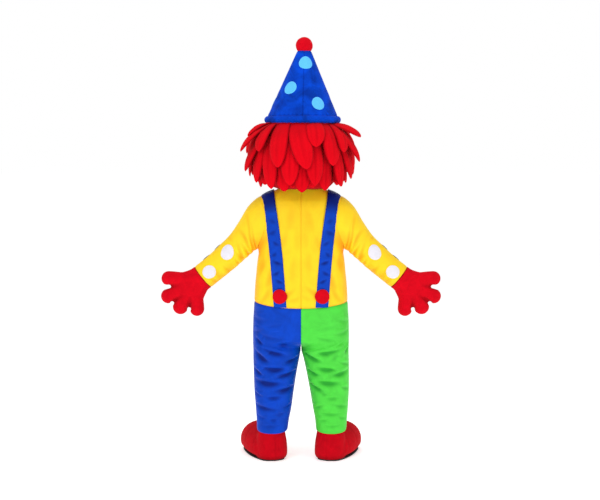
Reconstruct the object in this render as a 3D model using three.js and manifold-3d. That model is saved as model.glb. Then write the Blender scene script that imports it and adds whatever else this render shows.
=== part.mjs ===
// A clown mascot costume as it is worn, standing with its arms held out: foam head with a
// layered wig and a pointed hat, a one-piece suit with a yellow shirt and two-coloured
// trousers, braces, mitten gloves and big round shoes.
// Millimetres, +Z up, the face towards -Y, the wearer's left side at +X.
// Everything is drawn from the floor up. The outer group then lowers it, so that the part's
// origin is where the wearer's shoulders hold it.

import * as THREE from "three";
import { mergeVertices } from "three/addons/utils/BufferGeometryUtils.js";
import Module from "manifold-3d";

const wasm = await Module();
wasm.setup();

// Driving sizes

const HOLD_HEIGHT = 1345; // the wearer's shoulders above the floor
const CLOTH = 2.5; // wall of the suit's plush satin
const GLOVE_WALL = 4; // fleece over a thin wadding
const SHOE_WALL = 8; // fleece over foam
const HAT_WALL = 4; // satin over a stiff foam sheet
const HEAD_WALL = 12; // fleece over moulded foam
const SEAM = 0.4; // how far pieces stand apart where they are sewn or touch
const DEG = Math.PI / 180;

// Colours, as seen in even light

const cloth = (color, roughness) =>
  new THREE.MeshStandardMaterial({ color, roughness, metalness: 0 });
const YELLOW = cloth(0xffd91f, 0.6);
const BLUE = cloth(0x0a3fc4, 0.45);
const HAT_BLUE = cloth(0x0b40c0, 0.6);
const GREEN = cloth(0x4fdc48, 0.45);
const RED = cloth(0xe0101f, 0.8);
const WIG_RED = cloth(0xe6101e, 0.85);
const SKY = cloth(0x62c6fb, 0.75);
const WHITE = cloth(0xf2f1f2, 0.75);
const NAVY = cloth(0x141f5c, 0.7);
const SKIN = cloth(0xf0c8a4, 0.8);
const BLACK = cloth(0x141214, 0.5);

// Tables and small maths

// Reads a column of a table at x, on a smooth curve through its rows.
function read(rows, column, x) {
  const by = Object.keys(rows[0])[0];
  const last = rows.length - 1;
  if (x <= rows[0][by]) return rows[0][column];
  if (x >= rows[last][by]) return rows[last][column];
  let i = 0;
  while (rows[i + 1][by] < x) i += 1;
  const slope = (k) => {
    const a = rows[Math.max(k - 1, 0)];
    const b = rows[Math.min(k + 1, last)];
    return (b[column] - a[column]) / (b[by] - a[by]);
  };
  const width = rows[i + 1][by] - rows[i][by];
  const t = (x - rows[i][by]) / width;
  const t2 = t * t;
  const t3 = t2 * t;
  return (
    (2 * t3 - 3 * t2 + 1) * rows[i][column] +
    (t3 - 2 * t2 + t) * width * slope(i) +
    (3 * t2 - 2 * t3) * rows[i + 1][column] +
    (t3 - t2) * width * slope(i + 1)
  );
}

const signedPower = (a, p) => Math.sign(a) * Math.abs(a) ** p;

// Rises smoothly from 0 at a to 1 at b, whichever of them is larger.
function smoothstep(a, b, x) {
  const t = Math.min(1, Math.max(0, (x - a) / (b - a)));
  return t * t * (3 - 2 * t);
}

const steps = (a, b, n) =>
  Array.from({ length: n + 1 }, (_, i) => a + ((b - a) * i) / n);

// The point of surface(u, v), moved out along its normal. Surfaces turn u anticlockwise
// seen from +v, so that du x dv points out.
function moved(surface, u, v, out) {
  const p = surface(u, v);
  if (!out) return p;
  const h = 1e-3;
  const du = surface(u + h, v).sub(surface(u - h, v));
  const dv = surface(u, v + h).sub(surface(u, v - h));
  return p.addScaledVector(du.cross(dv).normalize(), out);
}

// Solids

function geometryOf(points, faces) {
  const g = new THREE.BufferGeometry();
  const position = new Float32Array(points.flatMap((p) => [p.x, p.y, p.z]));
  g.setAttribute("position", new THREE.BufferAttribute(position, 3));
  g.setIndex(faces);
  return g;
}

// A closed three.js geometry as a solid, turned so that its faces point out.
function solid(geometry) {
  const g = geometry.clone();
  Object.keys(g.attributes)
    .filter((name) => name !== "position")
    .forEach((name) => g.deleteAttribute(name));
  const merged = mergeVertices(g, 1e-4);
  const build = (triVerts) =>
    new wasm.Manifold(
      new wasm.Mesh({
        numProp: 3,
        vertProperties: merged.attributes.position.array,
        triVerts,
      }),
    );
  const triVerts = new Uint32Array(merged.index.array);
  const made = build(triVerts);
  return made.volume() > 0 ? made : build(triVerts.slice().reverse());
}

const fuse = (solids) => solids.reduce((a, b) => a.add(b));

// A tube, closed round u, as stacked rings. outer and inner give the two walls' points, and
// the rims join them. Without inner, the ends are capped and the tube is full.
function tube(count, vs, outer, inner) {
  const points = [];
  const faces = [];
  const quad = (a, b, c, d) => faces.push(a, b, c, a, c, d);
  const rings = (fn) =>
    vs.map((v) =>
      Array.from({ length: count }, (_, i) => {
        points.push(fn((i / count) * 2 * Math.PI, v));
        return points.length - 1;
      }),
    );
  const skin = (r, turned) =>
    r.slice(1).forEach((upper, j) =>
      upper.forEach((_, i) => {
        const k = (i + 1) % count;
        const [a, b] = turned ? [k, i] : [i, k];
        quad(r[j][a], r[j][b], upper[b], upper[a]);
      }),
    );
  const out = rings(outer);
  skin(out, false);
  const ends = [0, vs.length - 1];
  if (inner) {
    const into = rings(inner);
    skin(into, true);
    ends.forEach((j) =>
      out[j].forEach((_, i) => {
        const k = (i + 1) % count;
        const [a, b] = j ? [i, k] : [k, i];
        quad(out[j][a], out[j][b], into[j][b], into[j][a]);
      }),
    );
  } else {
    ends.forEach((j) => {
      const middle = new THREE.Vector3();
      out[j].forEach((i) => middle.addScaledVector(points[i], 1 / count));
      points.push(middle);
      const m = points.length - 1;
      out[j].forEach((_, i) => {
        const k = (i + 1) % count;
        const [a, b] = j ? [i, k] : [k, i];
        faces.push(out[j][a], out[j][b], m);
      });
    });
  }
  return solid(geometryOf(points, faces));
}

// A strip of cloth over a grid of u and v, from lift to lift + thick off the surface.
function strip(us, vs, surface, lift, thick) {
  const points = [];
  const at = (i, j, top) => (i * vs.length + j) * 2 + top;
  us.forEach((u) =>
    vs.forEach((v) =>
      points.push(
        moved(surface, u, v, lift),
        moved(surface, u, v, lift + thick),
      ),
    ),
  );
  const faces = [];
  const quad = (a, b, c, d) => faces.push(a, b, c, a, c, d);
  const m = us.length - 1;
  const n = vs.length - 1;
  for (let i = 0; i < m; i += 1)
    for (let j = 0; j < n; j += 1) {
      quad(at(i, j, 1), at(i + 1, j, 1), at(i + 1, j + 1, 1), at(i, j + 1, 1));
      quad(at(i, j, 0), at(i, j + 1, 0), at(i + 1, j + 1, 0), at(i + 1, j, 0));
    }
  for (let i = 0; i < m; i += 1) {
    quad(at(i, 0, 0), at(i + 1, 0, 0), at(i + 1, 0, 1), at(i, 0, 1));
    quad(at(i, n, 1), at(i + 1, n, 1), at(i + 1, n, 0), at(i, n, 0));
  }
  for (let j = 0; j < n; j += 1) {
    quad(at(0, j, 1), at(0, j + 1, 1), at(0, j + 1, 0), at(0, j, 0));
    quad(at(m, j, 0), at(m, j + 1, 0), at(m, j + 1, 1), at(m, j, 1));
  }
  return solid(geometryOf(points, faces));
}

// A round or oval patch sewn on a surface about (u0, v0), thicker in its middle by crown.
function patch(surface, u0, v0, size) {
  const { wide, tall, lift, thick, crown = 0, corners = 12 } = size;
  const here = surface(u0, v0);
  const h = 1e-3;
  const perU = surface(u0 + h, v0).distanceTo(here) / h;
  const perV = surface(u0, v0 + h).distanceTo(here) / h;
  const shares = crown > 3 ? [0.45, 0.8, 1] : [0.6, 1];
  const points = [];
  const place = (share, angle, out) =>
    moved(
      surface,
      u0 + (share * wide * Math.cos(angle)) / perU,
      v0 + (share * tall * Math.sin(angle)) / perV,
      out,
    );
  const faces = [];
  const layers = [true, false].map((top) => {
    const height = (s) =>
      top ? lift + thick + crown * Math.sqrt(Math.max(0, 1 - s * s)) : lift;
    points.push(place(0, 0, height(0)));
    const middle = points.length - 1;
    const rings = shares.map((s) =>
      Array.from({ length: corners }, (_, i) => {
        points.push(place(s, (i / corners) * 2 * Math.PI, height(s)));
        return points.length - 1;
      }),
    );
    for (let i = 0; i < corners; i += 1) {
      const k = (i + 1) % corners;
      const [a, b] = top ? [i, k] : [k, i];
      faces.push(middle, rings[0][a], rings[0][b]);
      rings.slice(1).forEach((r, j) => {
        faces.push(rings[j][a], r[a], r[b], rings[j][a], r[b], rings[j][b]);
      });
    }
    return rings[rings.length - 1];
  });
  const [top, bottom] = layers;
  for (let i = 0; i < corners; i += 1) {
    const k = (i + 1) % corners;
    faces.push(bottom[i], bottom[k], top[k], bottom[i], top[k], top[i]);
  }
  return solid(geometryOf(points, faces));
}

// A box between two corners.
function block(low, high) {
  const [w, d, h] = high.map((b, i) => b - low[i]);
  const g = new THREE.BoxGeometry(w, d, h);
  g.translate(...low.map((a, i) => (a + high[i]) / 2));
  return solid(g);
}

// A cloth panel: the stretch of a surface between two seams, as a wall inside it. It is
// moved half a seam's gap towards its own sides, right or left and front or back.
const panel = (us, vs, surface, sideX, sideY) => {
  const gap = new THREE.Vector3(sideX, sideY, 0).multiplyScalar(SEAM / 2);
  return strip(us, vs, (u, v) => surface(u, v).add(gap), -CLOTH, CLOTH);
};

const FAR = 3000;

// The same form on the wearer's other side.
const mirrored = (made) => made.mirror([1, 0, 0]);

const group = new THREE.Group();
function add(name, made, material) {
  const m = made.getMesh();
  const n = m.numProp;
  const position = new Float32Array(m.numVert * 3);
  for (let i = 0; i < m.numVert; i += 1)
    position.set(m.vertProperties.subarray(i * n, i * n + 3), i * 3);
  const g = new THREE.BufferGeometry();
  g.setAttribute("position", new THREE.BufferAttribute(position, 3));
  g.setIndex(new THREE.BufferAttribute(m.triVerts, 1));
  g.computeVertexNormals();
  const mesh = new THREE.Mesh(g, material);
  mesh.name = name;
  group.add(mesh);
}

// Shirt: body

const BODY_SQUARENESS = 2.5; // a level section of the body is a superellipse
const TORSO = [
  { z: 780, wide: 236, deep: 167 },
  { z: 900, wide: 229, deep: 163 },
  { z: 1000, wide: 218, deep: 157 },
  { z: 1090, wide: 208, deep: 149 },
  { z: 1200, wide: 205, deep: 139 },
  { z: 1270, wide: 206, deep: 126 },
  { z: 1310, wide: 202, deep: 112 },
  { z: 1332, wide: 191, deep: 98 },
  { z: 1347, wide: 165, deep: 88 },
  { z: 1359, wide: 137, deep: 81 },
  { z: 1368, wide: 117, deep: 76 },
  { z: 1376, wide: 103, deep: 71 },
];
const NECK_TOP = 1376;
const WAIST_BACK = 787; // the waist seam at the middle, and how much higher it is at the sides
const WAIST_RISE = 20;

const waistHeight = (x) => WAIST_BACK + WAIST_RISE * (x / 236) ** 2;

// u goes round from the wearer's left side over the back, v is the height.
function torso(u, v) {
  const p = 2 / BODY_SQUARENESS;
  const x = read(TORSO, "wide", v) * signedPower(Math.cos(u), p);
  const y = read(TORSO, "deep", v) * signedPower(Math.sin(u), p);
  return new THREE.Vector3(x, y, v);
}

// The same, with its lowest ring drawn along the curved waist seam.
function shirtBody(u, v) {
  const share = Math.max(0, (1000 - v) / (1000 - WAIST_BACK));
  const lift = waistHeight(torso(u, v).x) - WAIST_BACK + SEAM / 2;
  return torso(u, v + lift * share);
}

const TORSO_LEVELS = [
  WAIST_BACK, 890, 990, 1090, 1180, 1255, 1305, 1332, 1350, 1363, NECK_TOP,
];
const TORSO_CORNERS = 24;

const torsoForm = (out) =>
  tube(
    TORSO_CORNERS,
    TORSO_LEVELS.map((z, i) => (i ? z : z - 40)),
    (u, v) => moved(torso, u, v, out),
  );

// Shirt: sleeves

// Each row is a section of the wearer's left sleeve: its upper and lower edge as seen from
// behind, and half its depth.
const SLEEVE = [
  { row: 0, upX: 150, upZ: 1328, lowX: 150, lowZ: 1085, deep: 94 },
  { row: 1, upX: 203, upZ: 1326, lowX: 204, lowZ: 1086, deep: 94 },
  { row: 2, upX: 262, upZ: 1283, lowX: 224, lowZ: 1068, deep: 90 },
  { row: 3, upX: 312, upZ: 1203, lowX: 250, lowZ: 1044, deep: 80 },
  { row: 4, upX: 357, upZ: 1138, lowX: 286, lowZ: 1012, deep: 72 },
  { row: 5, upX: 408, upZ: 1087, lowX: 332, lowZ: 971, deep: 68 },
  { row: 6, upX: 471, upZ: 1028, lowX: 388, lowZ: 926, deep: 64 },
  { row: 7, upX: 533, upZ: 979, lowX: 450, lowZ: 876, deep: 61 },
];

// Soft folds of the sleeve: where they are along it and round it, and their size. The angle
// is 0 at the lower edge and 90 at the back.
const SLEEVE_FOLDS = [
  { row: 1.9, at: 35, span: 75, width: 0.22, depth: 6 },
  { row: 2.6, at: 20, span: 70, width: 0.2, depth: 7 },
  { row: 3.3, at: 40, span: 70, width: 0.2, depth: 6 },
  { row: 4.0, at: 10, span: 80, width: 0.2, depth: 6 },
  { row: 4.6, at: -30, span: 70, width: 0.18, depth: 5 },
  { row: 5.9, at: 20, span: 60, width: 0.16, depth: 3 },
  { row: 3.0, at: -40, span: 60, width: 0.2, depth: 6 },
  { row: 3.9, at: 200, span: 50, width: 0.2, depth: 3 },
];

// How far a trough pushes a point in, with a low ridge beside it. away is the distance to
// the trough's line, and round the angle from its middle.
function trough(fold, away, round) {
  const reach = Math.abs(round) / fold.span;
  if (reach >= 1) return 0;
  const across =
    Math.exp(-((away / fold.width) ** 2)) -
    0.55 * Math.exp(-(((away - 1.7 * fold.width) / fold.width) ** 2));
  return -fold.depth * Math.cos((reach * Math.PI) / 2) ** 2 * across;
}

const turn = (a) => ((((a + 180) % 360) + 360) % 360) - 180;

// u is 0 at the lower edge and 90 degrees at the back, v is the row.
function plainSleeve(u, v) {
  const [ux, uz, lx, lz, deep] = ["upX", "upZ", "lowX", "lowZ", "deep"].map(
    (c) => read(SLEEVE, c, v),
  );
  const c = Math.cos(u);
  return new THREE.Vector3(
    (ux + lx) / 2 - ((ux - lx) / 2) * c,
    deep * Math.sin(u),
    (uz + lz) / 2 - ((uz - lz) / 2) * c,
  );
}

function sleeve(u, v) {
  const push = SLEEVE_FOLDS.reduce(
    (sum, f) => sum + trough(f, v - f.row, turn(u / DEG - f.at)),
    0,
  );
  return moved(plainSleeve, u, v, push);
}

const SLEEVE_ROWS = [0.6, 1.3, ...steps(1.9, 4.5, 7), 5.2, 6, 7];
const SLEEVE_CORNERS = 12;
const sleeveForm = (out) =>
  tube(SLEEVE_CORNERS, SLEEVE_ROWS, (u, v) => moved(sleeve, u, v, out));

const sleeveWall = tube(SLEEVE_CORNERS, SLEEVE_ROWS, sleeve, (u, v) =>
  moved(sleeve, u, v, -CLOTH),
).subtract(torsoForm(SEAM));

// The panel between two angles of the torso, in degrees, with the armholes cut out.
const armholes = sleeveForm(SEAM).add(mirrored(sleeveForm(SEAM)));
const shirtPanel = (from, to, sideX, sideY) => {
  const columns = steps(from, to, (TORSO_CORNERS * (to - from)) / 360);
  const us = columns.map((a) => a * DEG);
  return panel(us, TORSO_LEVELS, shirtBody, sideX, sideY).subtract(armholes);
};

add("shirt_front", shirtPanel(180, 360, 0, -1), YELLOW);
add("shirt_back_left", shirtPanel(0, 90, 1, 1), YELLOW);
add("shirt_back_right", shirtPanel(90, 180, -1, 1), YELLOW);
add("sleeve_left", sleeveWall, YELLOW);
add("sleeve_right", mirrored(sleeveWall), YELLOW);

// Dots sewn on the sleeves: two white ones behind, two dark ones on the far side, whose
// rims just show from behind
const SLEEVE_DOTS = [
  { name: "white_upper", row: 4.72, at: 105, radius: 36, tint: WHITE },
  { name: "white_lower", row: 6.42, at: 92, radius: 34, tint: WHITE },
  { name: "navy_upper", row: 5.2, at: 206, radius: 26, tint: NAVY },
  { name: "navy_lower", row: 6.1, at: 206, radius: 26, tint: NAVY },
];
SLEEVE_DOTS.forEach(({ name, row, at, radius, tint }) => {
  const size = { wide: radius, tall: radius, lift: 1.1, thick: 2, crown: 2 };
  const dot = patch(sleeve, at * DEG, row, size);
  add(`sleeve_dot_${name}_left`, dot, tint);
  add(`sleeve_dot_${name}_right`, mirrored(dot), tint);
});

// Braces

const STRAP_WIDE = 62;
const STRAP_THICK = 2;
const STRAP_LIFT = 2; // clear of the shirt's facets
const SHOULDER_LIFT = 4; // and so much more where it bends over the shoulder
const STRAP_TURN = 1235; // above this height the strap is drawn as an arc over the shoulder
const STRAP_END = 792;
// The strap's middle, from the waist to the top of the shoulder.
const STRAP = [
  { z: 790, x: 102 },
  { z: 930, x: 112 },
  { z: 1075, x: 125 },
  { z: 1235, x: 145 },
  { z: 1350, x: 164 },
];

const insideTorso = (x, y, z) =>
  z < NECK_TOP &&
  Math.abs(x / read(TORSO, "wide", z)) ** BODY_SQUARENESS +
    Math.abs(y / read(TORSO, "deep", z)) ** BODY_SQUARENESS <
    1;

// The sleeve's head stands a little proud of the torso beside the strap's outer edge.
function insideSleeveHead(x, y, z) {
  const { upZ, lowZ, deep } = SLEEVE[1];
  const up = (z - (upZ + lowZ) / 2) / ((upZ - lowZ) / 2);
  return x > 180 && up ** 2 + (y / deep) ** 2 < 1;
}

// The torso's surface point met from (x, 0, z) along a direction in the plane of that x.
function shirtPoint(x, z, dirY, dirZ) {
  let near = 0;
  let far = 260;
  for (let i = 0; i < 40; i += 1) {
    const middle = (near + far) / 2;
    const here = [x, dirY * middle, z + dirZ * middle];
    if (insideTorso(...here) || insideSleeveHead(...here)) near = middle;
    else far = middle;
  }
  return new THREE.Vector3(x, dirY * near, z + dirZ * near);
}

// v runs from -1 at the front waist over the shoulder at 0 to 1 at the back waist, and u
// across the strap in millimetres.
const SHOULDER_SHARE = 0.22;
function strapSurface(u, v) {
  const side = v < 0 ? -1 : 1;
  const along = Math.abs(v);
  if (along > SHOULDER_SHARE) {
    const down = (along - SHOULDER_SHARE) / (1 - SHOULDER_SHARE);
    const z = STRAP_TURN + (STRAP_END - STRAP_TURN) * down;
    return shirtPoint(read(STRAP, "x", z) + u, z, side, 0);
  }
  const angle = (90 * DEG * along) / SHOULDER_SHARE;
  const height = STRAP_TURN + 115 * Math.cos(angle);
  const x = read(STRAP, "x", height) + u;
  return shirtPoint(x, STRAP_TURN, side * Math.sin(angle), Math.cos(angle));
}

// The ends lie closest to the shirt, where they are sewn into the waist seam.
const strapLift = (v) =>
  STRAP_LIFT * (1 - 0.6 * smoothstep(0.9, 1, Math.abs(v))) +
  SHOULDER_LIFT * smoothstep(1.8 * SHOULDER_SHARE, SHOULDER_SHARE, Math.abs(v));

const strap = strip(
  steps(-STRAP_WIDE / 2, STRAP_WIDE / 2, 2),
  [
    ...steps(-1, -SHOULDER_SHARE, 5).slice(0, -1),
    ...steps(-SHOULDER_SHARE, SHOULDER_SHARE, 14),
    ...steps(SHOULDER_SHARE, 1, 5).slice(1),
  ],
  (u, v) => moved(strapSurface, u, v, strapLift(v)),
  0,
  STRAP_THICK,
);
add("brace_left", strap, BLUE);
add("brace_right", mirrored(strap), BLUE);

const BUTTON = { wide: 36, tall: 36, thick: 3, crown: 7, corners: 14 };
const BUTTON_AT = { x: 105, z: 846 };
["back", "front"].forEach((place) => {
  const side = place === "back" ? 1 : -1;
  const p = (BUTTON_AT.x / read(TORSO, "wide", BUTTON_AT.z)) ** 1.25;
  const u = side * Math.acos(p);
  const lift = STRAP_LIFT + STRAP_THICK + 0.6;
  const button = patch(torso, u, BUTTON_AT.z, { ...BUTTON, lift });
  add(`button_${place}_left`, button, RED);
  add(`button_${place}_right`, mirrored(button), RED);
});

// Trousers

// The hips are one level oval from the crotch up, shared by both legs.
const CROTCH = 592;
const HIPS = [
  { z: 560, wide: 241, deep: 138 },
  { z: 600, wide: 242, deep: 146 },
  { z: 650, wide: 242, deep: 155 },
  { z: 720, wide: 240, deep: 163 },
  { z: 780, wide: 236, deep: 167 },
  { z: 815, wide: 235, deep: 166.5 },
];
// The left leg's outer and inner edge as seen from behind, and half its depth.
const LEG = [
  { z: 143, outer: 224, inner: 76, deep: 72 },
  { z: 200, outer: 225, inner: 72, deep: 74 },
  { z: 260, outer: 229, inner: 61, deep: 82 },
  { z: 355, outer: 236, inner: 45, deep: 97 },
  { z: 450, outer: 239, inner: 27, deep: 112 },
  { z: 520, outer: 241, inner: 12, deep: 124 },
  { z: 556, outer: 241, inner: 2, deep: 132 },
  { z: 592, outer: 242, inner: 0.4, deep: 143 },
  { z: 640, outer: 242, inner: 0.4, deep: 152 },
];
const CUFF_BACK = 139; // the trouser leg's end behind, and how much higher it is in front
const CUFF_RISE = 14;
const LEG_SQUARENESS = 2.2;

// Crumpled folds of a leg, from behind. at is the angle from the outer side over the back,
// sag how much lower the trough is in its middle than at its ends.
const LEG_FOLDS = [
  { z: 690, at: 60, span: 46, width: 11, depth: 5, sag: 16 },
  { z: 640, at: 118, span: 50, width: 12, depth: 6, sag: 20 },
  { z: 612, at: 45, span: 52, width: 12, depth: 8, sag: 18 },
  { z: 560, at: 100, span: 58, width: 13, depth: 10, sag: 22 },
  { z: 528, at: 28, span: 46, width: 11, depth: 8, sag: 14 },
  { z: 500, at: 128, span: 44, width: 11, depth: 7, sag: 14 },
  { z: 470, at: 84, span: 60, width: 12, depth: 10, sag: 20 },
  { z: 428, at: 140, span: 44, width: 11, depth: 8, sag: 12 },
  { z: 420, at: 30, span: 42, width: 10, depth: 7, sag: 12 },
  { z: 385, at: 78, span: 60, width: 12, depth: 10, sag: 20 },
  { z: 345, at: 132, span: 46, width: 11, depth: 8, sag: 14 },
  { z: 318, at: 50, span: 40, width: 10, depth: 6, sag: 10 },
  { z: 283, at: 98, span: 52, width: 11, depth: 7, sag: 14 },
  { z: 236, at: 60, span: 56, width: 11, depth: 7, sag: 14 },
  { z: 200, at: 120, span: 44, width: 10, depth: 5, sag: 10 },
];
// In front the same kind of folds lie a little lower and turned the other way round.
const FRONT_FOLDS = LEG_FOLDS.map((f, i) => ({
  ...f,
  z: f.z - 14 + 5 * (i % 3),
  at: -f.at + 8 * ((i % 2) * 2 - 1),
  depth: 0.85 * f.depth,
}));

// A back panel of the left leg, plain. u is 0 at the side seam. It is 180 degrees at the
// inner seam below the crotch, and at the centre seam above it. A negative u is the front
// panel. v is the height.
function plainLeg(u, v) {
  const p = 2 / LEG_SQUARENESS;
  const [outer, inner, deep] = ["outer", "inner", "deep"].map((c) =>
    read(LEG, c, v),
  );
  const c = Math.cos(u);
  const s = Math.sin(u);
  const oval = new THREE.Vector3(
    (outer + inner) / 2 + ((outer - inner) / 2) * signedPower(c, p),
    deep * signedPower(s, p),
    v,
  );
  const q = 2 / BODY_SQUARENESS;
  const half = new THREE.Vector3(
    read(HIPS, "wide", v) * signedPower(Math.cos(u / 2), q),
    read(HIPS, "deep", v) * signedPower(Math.sin(u / 2), q),
    v,
  );
  return oval.lerp(half, smoothstep(CROTCH - 36, CROTCH + 30, v));
}

// With its folds, its upper edge along the waist seam and its end cut on a slant.
function leg(u, v) {
  const p = plainLeg(u, v);
  const top = Math.max(0, (v - 640) / (WAIST_BACK - 640));
  const end = Math.max(0, (230 - v) / (230 - CUFF_BACK));
  const height =
    v +
    top * (waistHeight(p.x) - WAIST_BACK - SEAM / 2) +
    end * CUFF_RISE * (0.5 - p.y / 148);
  const calm =
    smoothstep(WAIST_BACK, WAIST_BACK - 60, height) *
    smoothstep(CUFF_BACK, CUFF_BACK + 45, height) *
    smoothstep(0, 40, p.x + 60 * smoothstep(CROTCH - 20, CROTCH - 90, height));
  const round = u / DEG;
  const push = [...LEG_FOLDS, ...FRONT_FOLDS].reduce((sum, f) => {
    const line = f.z - f.sag * (1 - ((round - f.at) / f.span) ** 2);
    return sum + trough(f, height - line, round - f.at);
  }, 0);
  return moved(plainLeg, u, height, calm * push);
}

const LEG_LEVELS = [CUFF_BACK, 168, 200, ...steps(226, 690, 16), WAIST_BACK];
const LEG_COLUMNS = steps(0, 180, 8).map((a) => a * DEG);
const legBack = panel(LEG_COLUMNS, LEG_LEVELS, leg, 1, 1);
const legFront = panel(
  LEG_COLUMNS.map((a) => -a).reverse(),
  LEG_LEVELS,
  leg,
  1,
  -1,
);
add("trousers_left_back", legBack, BLUE);
add("trousers_left_front", legFront, BLUE);
add("trousers_right_back", mirrored(legBack), GREEN);
add("trousers_right_front", mirrored(legFront), GREEN);

// Gloves

// Sections of the hand from the cuff to the knuckles, as for the sleeve.
const HAND = [
  { row: 0, upX: 533.25, upZ: 978.7, lowX: 450.25, lowZ: 875.7, deep: 60 },
  { row: 1, upX: 557, upZ: 963, lowX: 469, lowZ: 861, deep: 54 },
  { row: 2, upX: 590, upZ: 952, lowX: 485, lowZ: 830, deep: 48 },
  { row: 3, upX: 630, upZ: 942, lowX: 506, lowZ: 790, deep: 42 },
  { row: 4, upX: 654, upZ: 902, lowX: 560, lowZ: 778, deep: 35 },
  { row: 5, upX: 652, upZ: 850, lowX: 610, lowZ: 798, deep: 22 },
];
// Each finger's root in the palm and the middle of its round tip.
const FINGERS = [
  { name: "thumb", rootX: 592, rootZ: 915, x: 665, z: 919, radius: 36 },
  { name: "first", rootX: 600, rootZ: 862, x: 667, z: 830, radius: 37 },
  { name: "second", rootX: 580, rootZ: 840, x: 607, z: 776, radius: 38 },
  { name: "third", rootX: 530, rootZ: 850, x: 524, z: 765, radius: 36 },
];

function hand(u, v) {
  const [ux, uz, lx, lz, deep] = ["upX", "upZ", "lowX", "lowZ", "deep"].map(
    (c) => read(HAND, c, v),
  );
  const c = Math.cos(u);
  return new THREE.Vector3(
    (ux + lx) / 2 - ((ux - lx) / 2) * c,
    deep * Math.sin(u),
    (uz + lz) / 2 - ((uz - lz) / 2) * c,
  );
}

// A round-ended finger from its root to its tip's centre.
function finger({ rootX, rootZ, x, z, radius }, inset, corners, rings) {
  const reach = Math.hypot(x - rootX, z - rootZ);
  const full = radius - inset;
  const profile = [
    new THREE.Vector2(0, 0),
    new THREE.Vector2(full * 0.94, 0),
    ...steps(0, 90, rings).map(
      (a) =>
        new THREE.Vector2(
          a === 90 ? 0 : full * Math.cos(a * DEG),
          reach + full * Math.sin(a * DEG),
        ),
    ),
  ];
  const g = new THREE.LatheGeometry(profile, corners);
  g.rotateZ(-Math.atan2(x - rootX, z - rootZ));
  g.rotateX(Math.PI / 2);
  g.scale(1, -1, 1);
  g.translate(rootX, 0, rootZ);
  return solid(g);
}

const HAND_ROWS = [0, 1, 2, 3, 4, 5];
function gloveForm(inset) {
  const rows = inset ? HAND_ROWS.map((r, i) => (i ? r : -0.4)) : HAND_ROWS;
  const stretch = (u, v) => {
    const p = moved(hand, u, Math.max(v, 0), -inset);
    if (v >= 0) return p;
    const back = moved(hand, u, 0.4, -inset);
    return p.multiplyScalar(2).sub(back);
  };
  const [corners, rings] = inset ? [5, 1] : [8, 2];
  const palm = tube(corners + 2, rows, stretch);
  const fingers = FINGERS.map((f) => finger(f, inset, corners, rings));
  return fuse([palm, ...fingers]);
}
const glove = gloveForm(0).subtract(gloveForm(GLOVE_WALL));
add("glove_left", glove, RED);
add("glove_right", mirrored(glove), RED);

// Shoes

const SOLE = 7;
const SHOE_TURN = 17 * DEG; // the toes point outward
const ANKLE = { x: 150, y: 3.8 }; // the heel rests against the trouser leg behind
// Level sections of the ankle and heel.
const ANKLE_RINGS = [
  { z: SOLE + SEAM, wide: 72, deep: 74 },
  { z: 24, wide: 77, deep: 79 },
  { z: 60, wide: 79, deep: 80 },
  { z: 100, wide: 75, deep: 75 },
  { z: 135, wide: 68.5, deep: 65.9 },
  { z: 146, wide: 68, deep: 65.5 },
  { z: 180, wide: 65, deep: 62 },
];
// Upright sections of the foot, from the heel to the toe, along the shoe. Its outer side
// bulges further than its inner one.
const FOOT = [
  { s: -40, inner: 60, outer: 62, tall: 92 },
  { s: 0, inner: 79, outer: 88, tall: 128 },
  { s: 60, inner: 82, outer: 105, tall: 138 },
  { s: 120, inner: 92, outer: 111, tall: 147 },
  { s: 180, inner: 103, outer: 109, tall: 153 },
  { s: 225, inner: 101, outer: 104, tall: 147 },
  { s: 262, inner: 84, outer: 86, tall: 124 },
  { s: 284, inner: 58, outer: 59, tall: 94 },
  { s: 295, inner: 22, outer: 22, tall: 60 },
];
const SOLE_OUTLINE = [
  { s: -74, inner: 0, outer: 0 },
  { s: -62, inner: 44, outer: 46 },
  { s: -35, inner: 64, outer: 68 },
  { s: 10, inner: 72, outer: 86 },
  { s: 70, inner: 76, outer: 100 },
  { s: 130, inner: 87, outer: 104 },
  { s: 185, inner: 97, outer: 102 },
  { s: 230, inner: 93, outer: 95 },
  { s: 262, inner: 74, outer: 75 },
  { s: 280, inner: 46, outer: 46 },
  { s: 287, inner: 0, outer: 0 },
];

// A point along and across the left shoe, on the floor plan.
const onShoe = (s, across, z) =>
  new THREE.Vector3(
    ANKLE.x + s * Math.sin(SHOE_TURN) + across * Math.cos(SHOE_TURN),
    ANKLE.y - s * Math.cos(SHOE_TURN) + across * Math.sin(SHOE_TURN),
    z,
  );

// u goes round an upright section from its outer side over the top. The lower half is
// squarer and shallower, so that the foot is widest a third of the way up.
function foot(u, v) {
  const wide = read(FOOT, Math.cos(u) > 0 ? "outer" : "inner", v);
  const tall = read(FOOT, "tall", v);
  const base = SOLE + SEAM;
  const waist = base + 0.36 * (tall - base);
  const s = Math.sin(u);
  const p = s < 0 ? 0.7 : 0.92;
  const across = wide * signedPower(Math.cos(u), p);
  const z = s < 0 ? waist + (waist - base) * signedPower(s, 0.75) : waist + (tall - waist) * s;
  return onShoe(v, across, z);
}

function ankle(u, v) {
  return new THREE.Vector3(
    ANKLE.x + read(ANKLE_RINGS, "wide", v) * Math.cos(u),
    ANKLE.y + read(ANKLE_RINGS, "deep", v) * Math.sin(u),
    v,
  );
}

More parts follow.
